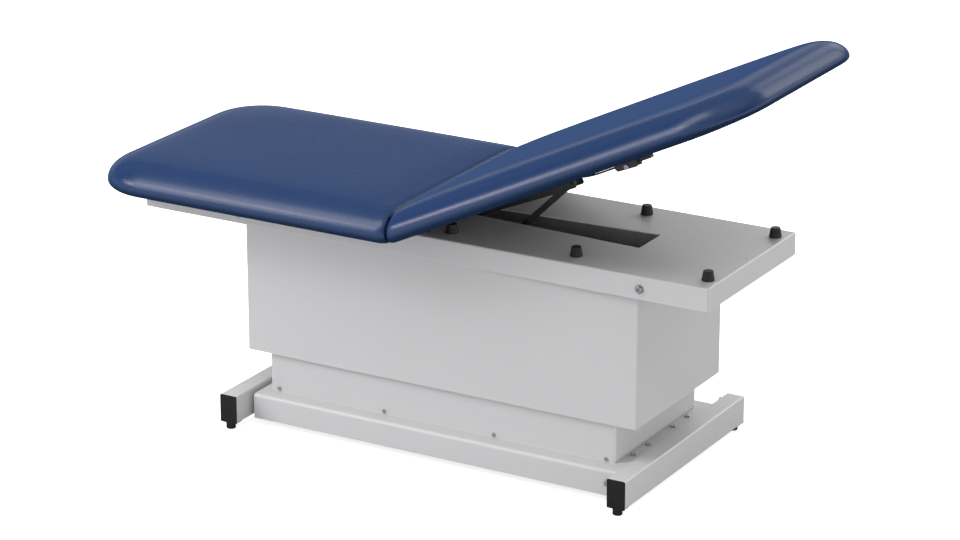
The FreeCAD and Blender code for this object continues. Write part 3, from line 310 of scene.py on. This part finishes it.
def small_plastics():
    glide = Finish("glide_plastic", color=(232, 231, 222), rough=0.45, specular=0.45)
    glide.drift(scale=30, amount=0.03)
    glide.bump(scale=300, strength=0.1, distance=0.0002, detail=3)

    control = Finish("control_plastic", color=(92, 95, 98), rough=0.5, specular=0.45)
    control.drift(scale=20, amount=0.06)
    control.bump(scale=700, strength=0.2, distance=0.0002)

    cable = Finish("cable_black", color=(24, 24, 26), rough=0.42)
    cable.drift(scale=50, amount=0.2)
    cable.bump(scale=600, strength=0.15, distance=0.0002, detail=3)


def plywood():
    """Dark stained board, its grain running along X."""
    board = Finish("plywood", color=(52, 50, 50), rough=0.6, specular=0.35)
    grain = board.noise(scale=7, detail=7.0, rough=0.6, distort=0.6, stretch=(1.0, 14.0, 14.0))
    board.set_color(board.ramp(grain, span=(0.32, 0.68)), srgb(40, 39, 40), srgb(62, 59, 58))
    board.bump_from(grain, strength=0.25, distance=0.0004)
    board.rough_drift(scale=60, amount=0.08)


for build in (vinyl_blue, powder_coat_white, dark_plastic_and_rubber, worn_steels,
              column_steel, drive_parts, small_plastics, plywood):
    build()

for name, ob in NODES.items():
    ob.data.materials.clear()
    ob.data.materials.append(MAT[SLOT[name]])


# ------------------------------------------------------------------ mesh helpers
def mesh_object(name, verts, faces, material):
    """Object from points and faces, with its normals turned outwards."""
    mesh = bpy.data.meshes.new(name)
    mesh.from_pydata([tuple(v) for v in verts], [], faces)
    mesh.validate()
    ob = bpy.data.objects.new(name, mesh)
    bpy.context.scene.collection.objects.link(ob)
    mesh.materials.append(material)
    bm = bmesh.new()
    bm.from_mesh(mesh)
    bmesh.ops.recalc_face_normals(bm, faces=bm.faces)
    bm.to_mesh(mesh)
    bm.free()
    return ob


def smooth_by_angle(ob, degrees):
    mesh = ob.data
    mesh.polygons.foreach_set("use_smooth", [True] * len(mesh.polygons))
    bm = bmesh.new()
    bm.from_mesh(mesh)
    limit = math.radians(degrees)
    for edge in bm.edges:
        edge.smooth = len(edge.link_faces) == 2 and edge.calc_face_angle(0.0) < limit
    bm.to_mesh(mesh)
    bm.free()


def apply_modifiers(ob):
    depsgraph = bpy.context.evaluated_depsgraph_get()
    mesh = bpy.data.meshes.new_from_object(
        ob.evaluated_get(depsgraph), preserve_all_data_layers=False, depsgraph=depsgraph)
    ob.modifiers.clear()
    old = ob.data
    ob.data = mesh
    bpy.data.meshes.remove(old)


def get_points(ob):
    points = np.zeros(len(ob.data.vertices) * 3)
    ob.data.vertices.foreach_get("co", points)
    return points.reshape(-1, 3)


def set_points(ob, points):
    flat = np.ascontiguousarray(points, dtype=np.float32).ravel()
    ob.data.vertices.foreach_set("co", flat)
    ob.data.update()


def neighbour_pairs(ob):
    """Every edge in both directions: vertex indices and the indices of their neighbours."""
    edges = np.zeros(len(ob.data.edges) * 2, np.int64)
    ob.data.edges.foreach_get("vertices", edges)
    first, second = edges.reshape(-1, 2).T
    return np.concatenate((first, second)), np.concatenate((second, first))


def neighbour_mean(values, pairs):
    own, other = pairs
    count = len(values)
    total = np.stack([np.bincount(own, weights=values[other, axis], minlength=count)
                      for axis in range(3)], axis=1)
    degree = np.bincount(own, minlength=count).astype(float)[:, None]
    return total / np.maximum(degree, 1)


def relax(ob, rounds, weight, mask=None):
    """Laplacian smoothing; a negative weight swells instead."""
    pairs = neighbour_pairs(ob)
    points = get_points(ob)
    for _ in range(rounds):
        moved = points + weight * (neighbour_mean(points, pairs) - points)
        if mask is not None:
            moved = points + (moved - points) * mask[:, None]
        points = moved
    set_points(ob, points)


def raise_with_backrest(ob):
    """Turns a piece drawn flat about the hinge into the raised rest position."""
    cos, sin = math.cos(TILT), math.sin(TILT)
    points = get_points(ob)
    x, z = points[:, 0] - HINGE_X, points[:, 2] - HINGE_Z
    points[:, 0] = HINGE_X + x * cos - z * sin
    points[:, 2] = HINGE_Z + x * sin + z * cos
    set_points(ob, points)


# ------------------------------------------------------------------ cushions
PAD_BOTTOM, PAD_TOP = 0.5530, 0.6220
PAD_HALF = 0.3465            # half width across Y
FREE_CORNER = 158 * MM       # plan corner radius at the free end
JOINT_CORNER = 32 * MM       # and at the hinge end
MIN_CORNER = 3 * MM
TOP_INSET = 82 * MM          # elliptical top rounding: reach at the sides and free end,
TOP_JOINT_INSET = 45 * MM    # reach at the joint end
TOP_DROP = 54 * MM           # and height
LOW_INSET = 20 * MM          # lower rounding: reach
LOW_RISE = 11 * MM           # and height
RING_X, RING_Y = 170, 120    # points on each long and each cross side of a ring
GROW = 2.0 * MM              # the pad starts this much lower where the cover later swells
JOINT_GAP = 0.8 * MM         # from the hinge plane to each joint face
JOINT_LEAN = math.tan(TILT / 2)   # each joint face leans half the tilt above the hinge
CUT_MARGIN = 0.03            # how far the joint cutter passes the pad
BOARD_HALF = 0.305           # board pocket in the underside: half width,
BOARD_CORNER = 0.117         # corner radius
BOARD_TOP = 0.5863           # and ceiling
VOXEL = 0.0050
SWELL_LIMIT = 0.0035


def ring(x0, x1, half, r0, r1):
    """Closed rounded rectangle, corner radius r0 at x0 and r1 at x1, evenly spaced per side."""
    def spaced(path, count):
        run = [0.0]
        for a, b in zip(path[:-1], path[1:]):
            run.append(run[-1] + (b - a).length)
        points, j = [], 0
        for i in range(count):
            want = run[-1] * i / count
            while j < len(run) - 2 and run[j + 1] < want:
                j += 1
            t = (want - run[j]) / max(1e-9, run[j + 1] - run[j])
            points.append(path[j].lerp(path[j + 1], t))
        return points

    def half_corner(corner, start):
        cx, cy, r = corner
        angles = [math.radians(start + 45 * i / 12) for i in range(13)]
        return [Vector((cx + r * math.cos(a), cy + r * math.sin(a), 0)) for a in angles]

    centres = [(x0 + r0, -half + r0, r0), (x1 - r1, -half + r1, r1),
               (x1 - r1, half - r1, r1), (x0 + r0, half - r0, r0)]
    points = []
    # -Y side, +X side, +Y side, -X side, each from mid corner to mid corner
    for i, count in enumerate((RING_X, RING_Y, RING_X, RING_Y)):
        path = half_corner(centres[i], (225 + 90 * i) % 360)
        path += half_corner(centres[(i + 1) % 4], (270 + 90 * i) % 360)
        points += spaced(path, count)
    return points


def pad_shell(x0, x1, top, crown, free_at_x0):
    """Outer skin of a cushion as stacked rings: underside, lower rounding, upper rounding, top."""
    levels = []                      # (inset at sides and free end, inset at joint end, z)
    for i in range(9):
        angle = math.radians(90.0 * i / 8)
        away = 1 - math.sin(angle)
        levels.append((LOW_INSET * away, LOW_INSET * 0.6 * away,
                       PAD_BOTTOM + LOW_RISE * (1 - math.cos(angle))))
    for i in range(17):
        angle = math.radians(90.0 * i / 16)
        away = 1 - math.cos(angle)
        levels.append((TOP_INSET * away, TOP_JOINT_INSET * away,
                       top - TOP_DROP + TOP_DROP * math.sin(angle)))

    def outline(inset, joint_inset, z):
        """(x0, x1, half width, radius at x0, radius at x1, z) of one level"""
        free = (inset, max(MIN_CORNER, FREE_CORNER - inset))
        joint = (joint_inset, max(MIN_CORNER, JOINT_CORNER - joint_inset * 0.5))
        (inset0, r0), (inset1, r1) = (free, joint) if free_at_x0 else (joint, free)
        return x0 + inset0, x1 - inset1, PAD_HALF - inset, r0, r1, z

    def shrink(loop, scale, z):
        xa, xb, half, ra, rb, _ = loop
        cut = half * (1 - scale)
        return (xa + cut, xb - cut, half * scale,
                max(MIN_CORNER, ra - cut), max(MIN_CORNER, rb - cut), z)

    loops = [outline(*level) for level in levels]
    loops = ([shrink(loops[0], q, PAD_BOTTOM) for q in (0.2, 0.5, 0.8)] + loops
             + [shrink(loops[-1], q, top) for q in (0.95, 0.88, 0.78, 0.64, 0.48, 0.32, 0.16)])
    verts, faces = [], []
    x_mid, x_half = (x0 + x1) / 2, (x1 - x0) / 2
    for *shape, z in loops:
        for p in ring(*shape):
            u, v = (p.x - x_mid) / x_half, p.y / PAD_HALF
            lift = (crown * max(0.0, 1 - abs(u) ** 4) * max(0.0, 1 - abs(v) ** 3)
                    * max(0.0, (z - top + TOP_DROP) / TOP_DROP) ** 3)
            verts.append(Vector((p.x, p.y, z + lift)))
    n = 2 * (RING_X + RING_Y)
    for level in range(len(loops) - 1):
        for i in range(n):
            a, b = level * n + i, level * n + (i + 1) % n
            faces.append((a, b, b + n, a + n))
    last = (len(loops) - 1) * n
    faces.append(tuple(reversed(range(n))))
    faces.append(tuple(range(last, last + n)))
    return verts, faces


def carve(ob, name, first, second, flip_sides=False):
    """Cuts away the solid between two matching loops of points."""
    n = len(first)
    faces = [tuple(range(n)), tuple(reversed(range(n, 2 * n)))]
    for i in range(n):
        j = (i + 1) % n
        faces.append((i, j, j + n, i + n) if flip_sides else (i, i + n, j + n, j))
    tool = mesh_object(name, first + second, faces, MAT["vinyl_blue"])
    cut = ob.modifiers.new("carve", "BOOLEAN")
    cut.object = tool
    cut.operation = "DIFFERENCE"
    cut.solver = "EXACT"
    apply_modifiers(ob)
    bpy.data.objects.remove(tool)


def carve_across(ob, name, outline, half):
    """Cuts an XZ outline out of the pad, half to each side of the middle."""
    carve(ob, name, [(x, -half, z) for x, z in outline], [(x, half, z) for x, z in outline])


def carve_board_pocket(ob, x_out, x_in, inward):
    """Pocket for the board, with rounded corners at its outer end."""
    near, far = [], []
    for i in range(9):
        angle = math.radians(90.0 * i / 8)
        x = x_out + inward * BOARD_CORNER * (1 - math.cos(angle))
        y = BOARD_HALF - BOARD_CORNER * (1 - math.sin(angle))
        near.append((x, -y))
        far.append((x, y))
    plan = near + [(x_in, -BOARD_HALF), (x_in, BOARD_HALF)] + far[::-1]
    carve(ob, "recess_tool", [(x, y, PAD_BOTTOM - 0.02) for x, y in plan],
          [(x, y, BOARD_TOP) for x, y in plan], flip_sides=True)


def remesh_skin(ob):
    """Even voxel mesh, pulled back onto the carved surface."""
    surface = BVHTree.FromPolygons([tuple(v.co) for v in ob.data.vertices],
                                   [tuple(p.vertices) for p in ob.data.polygons])
    remesh = ob.modifiers.new("remesh", "REMESH")
    remesh.mode = "VOXEL"
    remesh.voxel_size = VOXEL
    apply_modifiers(ob)
    points = get_points(ob)
    for i, point in enumerate(points):
        hit = surface.find_nearest(Vector(point), 0.006)[0]
        if hit is not None:
            points[i] = hit
    set_points(ob, points)
    relax(ob, rounds=3, weight=0.5)


def run_pressure_cloth(ob, hold):
    """Points of the skin after ten frames of inner pressure, pinned by hold (0 to 1)."""
    group = ob.vertex_groups.new(name="hold")
    for upper in np.linspace(0.05, 1.0, 20):
        members = np.nonzero((hold > upper - 0.05) & (hold <= upper))[0]
        if len(members):
            group.add([int(i) for i in members], float(upper), "REPLACE")
    cloth = ob.modifiers.new("cloth", "CLOTH")
    settings = cloth.settings
    settings.quality = 3
    settings.mass = 0.4
    settings.tension_stiffness = 40
    settings.compression_stiffness = 40
    settings.shear_stiffness = 20
    settings.bending_stiffness = 4
    settings.use_pressure = True
    settings.uniform_pressure_force = 4.0
    settings.vertex_group_mass = "hold"
    settings.effector_weights.gravity = 0.0
    cloth.collision_settings.use_collision = False
    cloth.collision_settings.use_self_collision = False
    scene = bpy.context.scene
    for number in range(1, 11):
        scene.frame_set(number)
    points = get_points(ob.evaluated_get(bpy.context.evaluated_depsgraph_get()))
    ob.modifiers.clear()
    scene.frame_set(1)
    ob.vertex_groups.clear()
    return points


def puff(ob, face_x, inward):
    """Swells the cover over its foam, held where it wraps under the board and at the joint."""
    rest = get_points(ob)
    x, y, z = rest.T
    hold = np.clip(1.0 - (z - (PAD_BOTTOM + 0.012)) / 0.022, 0.0, 1.0)
    joint_x = face_x - inward * JOINT_LEAN * np.maximum(z - HINGE_Z, 0)
    hold = np.maximum(hold, np.clip(1.0 - (np.abs(x - joint_x) - 0.004) / 0.03, 0.0, 1.0))
    swell = run_pressure_cloth(ob, hold) - rest
    length = np.linalg.norm(swell, axis=1, keepdims=True)
    swell = swell * (SWELL_LIMIT * np.tanh(length / SWELL_LIMIT) / np.maximum(length, 1e-9))
    swell *= (1 - hold)[:, None]
    # only the broad shape is kept: single-vertex jitter of the cloth is averaged out
    pairs = neighbour_pairs(ob)
    for _ in range(220):
        swell = 0.5 * swell + 0.5 * neighbour_mean(swell, pairs)
        swell *= (1 - hold)[:, None] ** 0.2
    set_points(ob, rest + swell)
    relax(ob, rounds=4, weight=0.5)
    # fairing without shrinkage takes out the remesh steps, except in the board pocket
    free_end = x.min() if inward > 0 else x.max()
    pocket = (z < 0.592) & (np.abs(y) < 0.322) & (np.abs(x - free_end) > 0.030)
    mask = np.clip(1.0 - 4.0 * hold, 0.0, 1.0) * (~pocket)
    for _ in range(40):
        relax(ob, rounds=1, weight=0.5, mask=mask)
        relax(ob, rounds=1, weight=-0.53, mask=mask)


def cushion(name, free_x, virtual_x, crown, pocket):
    """A cushion drawn flat.

    free_x is its free end, virtual_x where the joint end would reach if it were not pressed
    flat, crown the rise of the top's middle, pocket the outer and inner X of the board pocket.
    """
    inward = 1 if free_x < HINGE_X else -1          # direction from the free end to the joint
    grow = GROW
    x0, x1 = sorted((free_x, virtual_x))
    verts, faces = pad_shell(x0, x1, PAD_TOP - grow, crown, free_at_x0=inward > 0)
    ob = mesh_object(name, verts, faces, MAT["vinyl_blue"])
    # joint face: upright below the hinge level, leaning above it
    face_x = HINGE_X - JOINT_GAP * inward
    low, high = PAD_BOTTOM - CUT_MARGIN, PAD_TOP + CUT_MARGIN
    beyond = face_x + inward * 0.1
    carve_across(ob, "joint_cutter", [
        (face_x, low), (face_x, HINGE_Z),
        (face_x - inward * JOINT_LEAN * (high - HINGE_Z), high),
        (beyond, high), (beyond, low)], half=0.5)
    carve_board_pocket(ob, *pocket, inward)
    if inward > 0:
        # relief in the leg joint face: the lower end of the backrest board turns into it
        low = PAD_BOTTOM - 0.02
        carve_across(ob, "relief_cutter", [
            (HINGE_X - 0.021, low), (HINGE_X - 0.021, 0.596), (HINGE_X - 0.014, 0.6045),
            (HINGE_X + 0.05, 0.6045), (HINGE_X + 0.05, low)], half=0.3085)
    remesh_skin(ob)
    puff(ob, face_x, inward)
    subdivide = ob.modifiers.new("sub", "SUBSURF")
    subdivide.levels = subdivide.render_levels = 1
    apply_modifiers(ob)
    ob.data.polygons.foreach_set("use_smooth", [True] * len(ob.data.polygons))
    ob.data.materials.clear()
    ob.data.materials.append(MAT["vinyl_blue"])
    return ob


leg = cushion("leg_cushion_cover", free_x=-0.9045 + BASE_X, virtual_x=-0.0452 + BASE_X,
              crown=2.0 * MM, pocket=(-0.860 + BASE_X, -0.02 + BASE_X))
back = cushion("backrest_cushion_cover", free_x=0.9213 + BASE_X, virtual_x=-0.0666 + BASE_X,
               crown=5.0 * MM, pocket=(0.885 + BASE_X, -0.09 + BASE_X))
raise_with_backrest(back)

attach(leg, "lifting_top")
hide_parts("leg_cushion")


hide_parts("backrest_cushion")
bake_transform(back)

# ------------------------------------------------------------------ stapled hems
HEM_Z = 0.5743               # underside of the board
HEM_HALF = 0.3015            # half width of the hem's outer edge
HEM_CORNER = 0.113
HEM_WIDTH = 0.036
STAPLE_HALF_LENGTH = 0.0055
STAPLE_HALF_WIDTH = 0.0006
STAPLE_HEIGHT = 0.0009
STAPLE_INSET = 0.018         # from the outer edge of the hem


def hem_path(x_out, x_open):
    """(x, y, outward x, outward y) along the outer edge, open at x_open."""
    inward = 1 if x_open > x_out else -1
    corner_x = x_out + inward * HEM_CORNER
    near = [(x_open + (corner_x - x_open) * i / 90, -HEM_HALF, 0.0, -1.0) for i in range(90)]
    for i in range(40):
        angle = math.radians(90.0 * i / 39)
        sin, cos = math.sin(angle), math.cos(angle)
        near.append((corner_x - inward * HEM_CORNER * sin,
                     -HEM_HALF + HEM_CORNER - HEM_CORNER * cos, -inward * sin, -cos))
    end = [(x_out, -HEM_HALF + HEM_CORNER + 2 * (HEM_HALF - HEM_CORNER) * i / 40,
            -float(inward), 0.0) for i in range(1, 40)]
    return near + end + [(x, -y, out_x, -out_y) for x, y, out_x, out_y in reversed(near)]


def hem_strip(name, path):
    """Wavy strip with small pleats at the corners."""
    verts, faces = [], []
    for i, (x, y, out_x, out_y) in enumerate(path):
        corner = abs(out_x) > 0.05 and abs(out_y) > 0.05
        pleat = math.sin(i * 1.57)
        width = HEM_WIDTH + 0.0022 * math.sin(i * 0.83) + 0.0012 * math.sin(i * 2.1)
        pucker = 0.0007 + 0.0005 * math.sin(i * 1.3)
        if corner:
            width += 0.002 * pleat
            pucker += 0.0012 * (1 + pleat)
        # (share of the width, depth below the board) around the section
        section = ((0.0, 0.0010), (0.25, 0.0016 + pucker * 0.6), (0.6, 0.0014 + pucker),
                   (1.0, 0.0012 + pucker * 0.3), (1.0, 0.0002), (0.0, 0.0002))
        for share, depth in section:
            verts.append((x - out_x * width * share, y - out_y * width * share, HEM_Z - depth))
    n, m = len(path), 6
    for i in range(n - 1):
        for k in range(m):
            j = (k + 1) % m
            faces.append((i * m + k, i * m + j, (i + 1) * m + j, (i + 1) * m + k))
    faces += [tuple(reversed(range(m))), tuple((n - 1) * m + k for k in range(m))]
    return mesh_object(name, verts, faces, MAT["vinyl_blue"])


def staple_row(name, path):
    """One staple at every fourth path point, each slightly out of line."""
    jitter = random.Random(11)
    length, width, height = STAPLE_HALF_LENGTH, STAPLE_HALF_WIDTH, STAPLE_HEIGHT
    profile = [(-length, 0.0), (-length, -height * 0.7), (-length * 0.85, -height),
               (length * 0.85, -height), (length, -height * 0.7), (length, 0.0)]
    verts, faces = [], []
    for x, y, out_x, out_y in path[3:len(path) - 3:4]:
        inset = STAPLE_INSET + jitter.uniform(-0.002, 0.002)
        angle = math.atan2(out_y, out_x) + math.pi / 2 + jitter.uniform(-0.25, 0.25)
        cx, cy = x - out_x * inset, y - out_y * inset
        cos, sin = math.cos(angle), math.sin(angle)
        base = len(verts)
        for a, h in profile:
            for b in (-width, width):
                verts.append((cx + a * cos - b * sin, cy + a * sin + b * cos,
                              HEM_Z - 0.0022 + h))
        for k in range(base, base + 10, 2):
            faces.append((k, k + 1, k + 3, k + 2))
        faces.append((base + 1, base, base + 10, base + 11))
        faces.append(tuple(base + 2 * k for k in range(6)))
        faces.append(tuple(base + 2 * k + 1 for k in reversed(range(6))))
    return mesh_object(name, verts, faces, MAT["zinc_steel"])


def stapled_hem(prefix, x_out, x_open, body, raised):
    """Cover edge folded under the board and held by staples."""
    path = hem_path(x_out, x_open)
    hem = hem_strip(prefix + "_hem", path)
    staples = staple_row(prefix + "_staples", path)
    if raised:
        raise_with_backrest(hem)
        raise_with_backrest(staples)
    smooth_by_angle(hem, 50)
    for ob, slot in ((hem, "vinyl_blue"), (staples, "zinc_steel")):
        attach(ob, body)


stapled_hem("leg_cover", x_out=-0.8565 + BASE_X, x_open=-0.088 + BASE_X,
            body="lifting_top", raised=False)
stapled_hem("backrest_cover", x_out=0.8815 + BASE_X, x_open=0.035 + BASE_X,
            body="backrest", raised=True)

# ------------------------------------------------------------------ stage
scene = bpy.context.scene
scene.view_settings.view_transform = "Standard"
scene.view_settings.look = "None"


def studio_floor():
    """Near-white to the camera, mid grey to other rays, and clear when seen from below."""
    bpy.ops.mesh.primitive_plane_add(size=80, location=(0, 0, 0))
    floor = bpy.context.object
    floor.name = "studio_floor"
    material = bpy.data.materials.new("studio_floor")
    tree = new_tree(material)
    seen = add_node(tree, "ShaderNodeBsdfPrincipled", {
        "Base Color": (0.90, 0.90, 0.90, 1), "Roughness": 0.95, "Specular IOR Level": 0.0,
        "Emission Color": (1, 1, 1, 1), "Emission Strength": 0.80})
    bounce = add_node(tree, "ShaderNodeBsdfDiffuse", {"Color": (0.56, 0.56, 0.57, 1)})
    camera_ray = add_node(tree, "ShaderNodeLightPath").outputs["Is Camera Ray"]
    above = mix_shaders(tree, camera_ray, bounce.outputs[0], seen.outputs[0])
    from_below = add_node(tree, "ShaderNodeNewGeometry").outputs["Backfacing"]
    clear = add_node(tree, "ShaderNodeBsdfTransparent").outputs[0]
    surface = mix_shaders(tree, from_below, above, clear)
    add_node(tree, "ShaderNodeOutputMaterial", {0: surface})
    floor.data.materials.append(material)


def studio_world():
    """Bands of soft sky light; the camera itself sees plain white."""
    world = bpy.data.worlds.new("studio")
    scene.world = world
    tree = new_tree(world)
    place = add_node(tree, "ShaderNodeTexCoord").outputs["Generated"]
    x, y, z = add_node(tree, "ShaderNodeSeparateXYZ", {0: place}).outputs

    def hump(middle, width):
        """Smooth bump over the height: 1 at middle, 0 beyond middle +- width."""
        away = calc(tree, "ABSOLUTE", calc(tree, "SUBTRACT", z, middle))
        t = calc(tree, "SUBTRACT", 1.0, calc(tree, "DIVIDE", away, width, clamp=True))
        return calc(tree, "MULTIPLY", calc(tree, "MULTIPLY", t, t),
                    calc(tree, "SUBTRACT", 3.0, calc(tree, "MULTIPLY", t, 2.0)))

    def toward(band, way_x, way_y):
        """The band, fading to 0 at a right angle from a horizontal direction."""
        lobe = calc(tree, "ADD", calc(tree, "MULTIPLY", x, way_x),
                    calc(tree, "MULTIPLY", y, way_y), clamp=True)
        return calc(tree, "MULTIPLY", band, lobe)

    horizon = hump(middle=0.05, width=0.22)
    thin = hump(middle=0.13, width=0.10)
    middle_sky = hump(middle=0.42, width=0.36)
    bands = (                               # band, strength
        (toward(horizon, 0, -1), 0.9),      # horizon, front
        (toward(thin, 0, 1), 1.6),          # horizon, back
        (toward(horizon, 1, 0), 2.8),       # horizon, head
        (toward(horizon, -1, 0), 1.2),      # horizon, foot
        (toward(middle_sky, 0, -1), 0.95),  # mid sky, front
        (toward(middle_sky, 0, 1), 1.20),   # mid sky, back
        (hump(middle=1.0, width=0.5), 0.86),  # overhead
    )
    total = None
    for band, strength in bands:
        channels = {i: calc(tree, "MULTIPLY", band, strength) for i in range(3)}
        color = add_node(tree, "ShaderNodeCombineColor", channels).outputs[0]
        total = mix_colors(tree, 1.0, total, color, blend_type="ADD") if total else color
    camera_ray = add_node(tree, "ShaderNodeLightPath").outputs["Is Camera Ray"]
    white = add_node(tree, "ShaderNodeBackground", {0: (1, 1, 1, 1)}).outputs[0]
    sky = add_node(tree, "ShaderNodeBackground", {0: total}).outputs[0]
    add_node(tree, "ShaderNodeOutputWorld", {0: mix_shaders(tree, camera_ray, sky, white)})


def area_light(name, energy, place, target, size, color=(1, 1, 1)):
    light = bpy.data.lights.new(name, "AREA")
    light.shape = "RECTANGLE"
    light.size, light.size_y = size
    light.energy = energy
    light.color = color
    light.spread = math.radians(180.0)
    ob = bpy.data.objects.new(name, light)
    ob.location = place
    aim = Vector(target) - Vector(place)
    ob.rotation_euler = aim.to_track_quat("-Z", "Y").to_euler()
    scene.collection.objects.link(ob)


def studio_camera():
    """Long lens from the front and head side, looking slightly down."""
    data = bpy.data.cameras.new("camera")
    data.sensor_width = 36.0
    data.lens = 128.33
    data.clip_end = 100
    camera = bpy.data.objects.new("camera", data)
    azimuth, elevation = math.radians(30.003), math.radians(19.288)
    backward = Vector((math.sin(azimuth) * math.cos(elevation),
                       -math.cos(azimuth) * math.cos(elevation), math.sin(elevation)))
    target = Vector((-0.0052 + BASE_X, 0, 0.4012))
    camera.location = target + backward * 8.0741
    camera.rotation_euler = backward.to_track_quat("Z", "Y").to_euler()
    scene.collection.objects.link(camera)
    scene.camera = camera


studio_floor()
studio_world()
PINK = (1.0, 0.87, 0.91)
area_light("key_box", energy=118.0, place=(-2.3, -2.0, 3.9), target=(-0.1, 0, 0.5),
           size=(2.4, 4.6))
area_light("back_box", energy=72.0, place=(0.9, 4.2, 2.7), target=(0.1, 0, 0.7),
           size=(3.6, 1.8))
area_light("head_box", energy=0.5, place=(5.0, -1.6, 0.7), target=(0.3, 0, 0.3),
           size=(2.6, 1.2))
area_light("strip_front", energy=14.0, place=(-2.8, -2.75, 3.75), target=(-0.4, 0, 0.6),
           size=(1.2, 0.4), color=PINK)
area_light("strip_foot", energy=26.0, place=(-3.9, -1.95, 2.6), target=(0.3, 0, 0.7),
           size=(1.2, 0.35), color=PINK)
studio_camera()
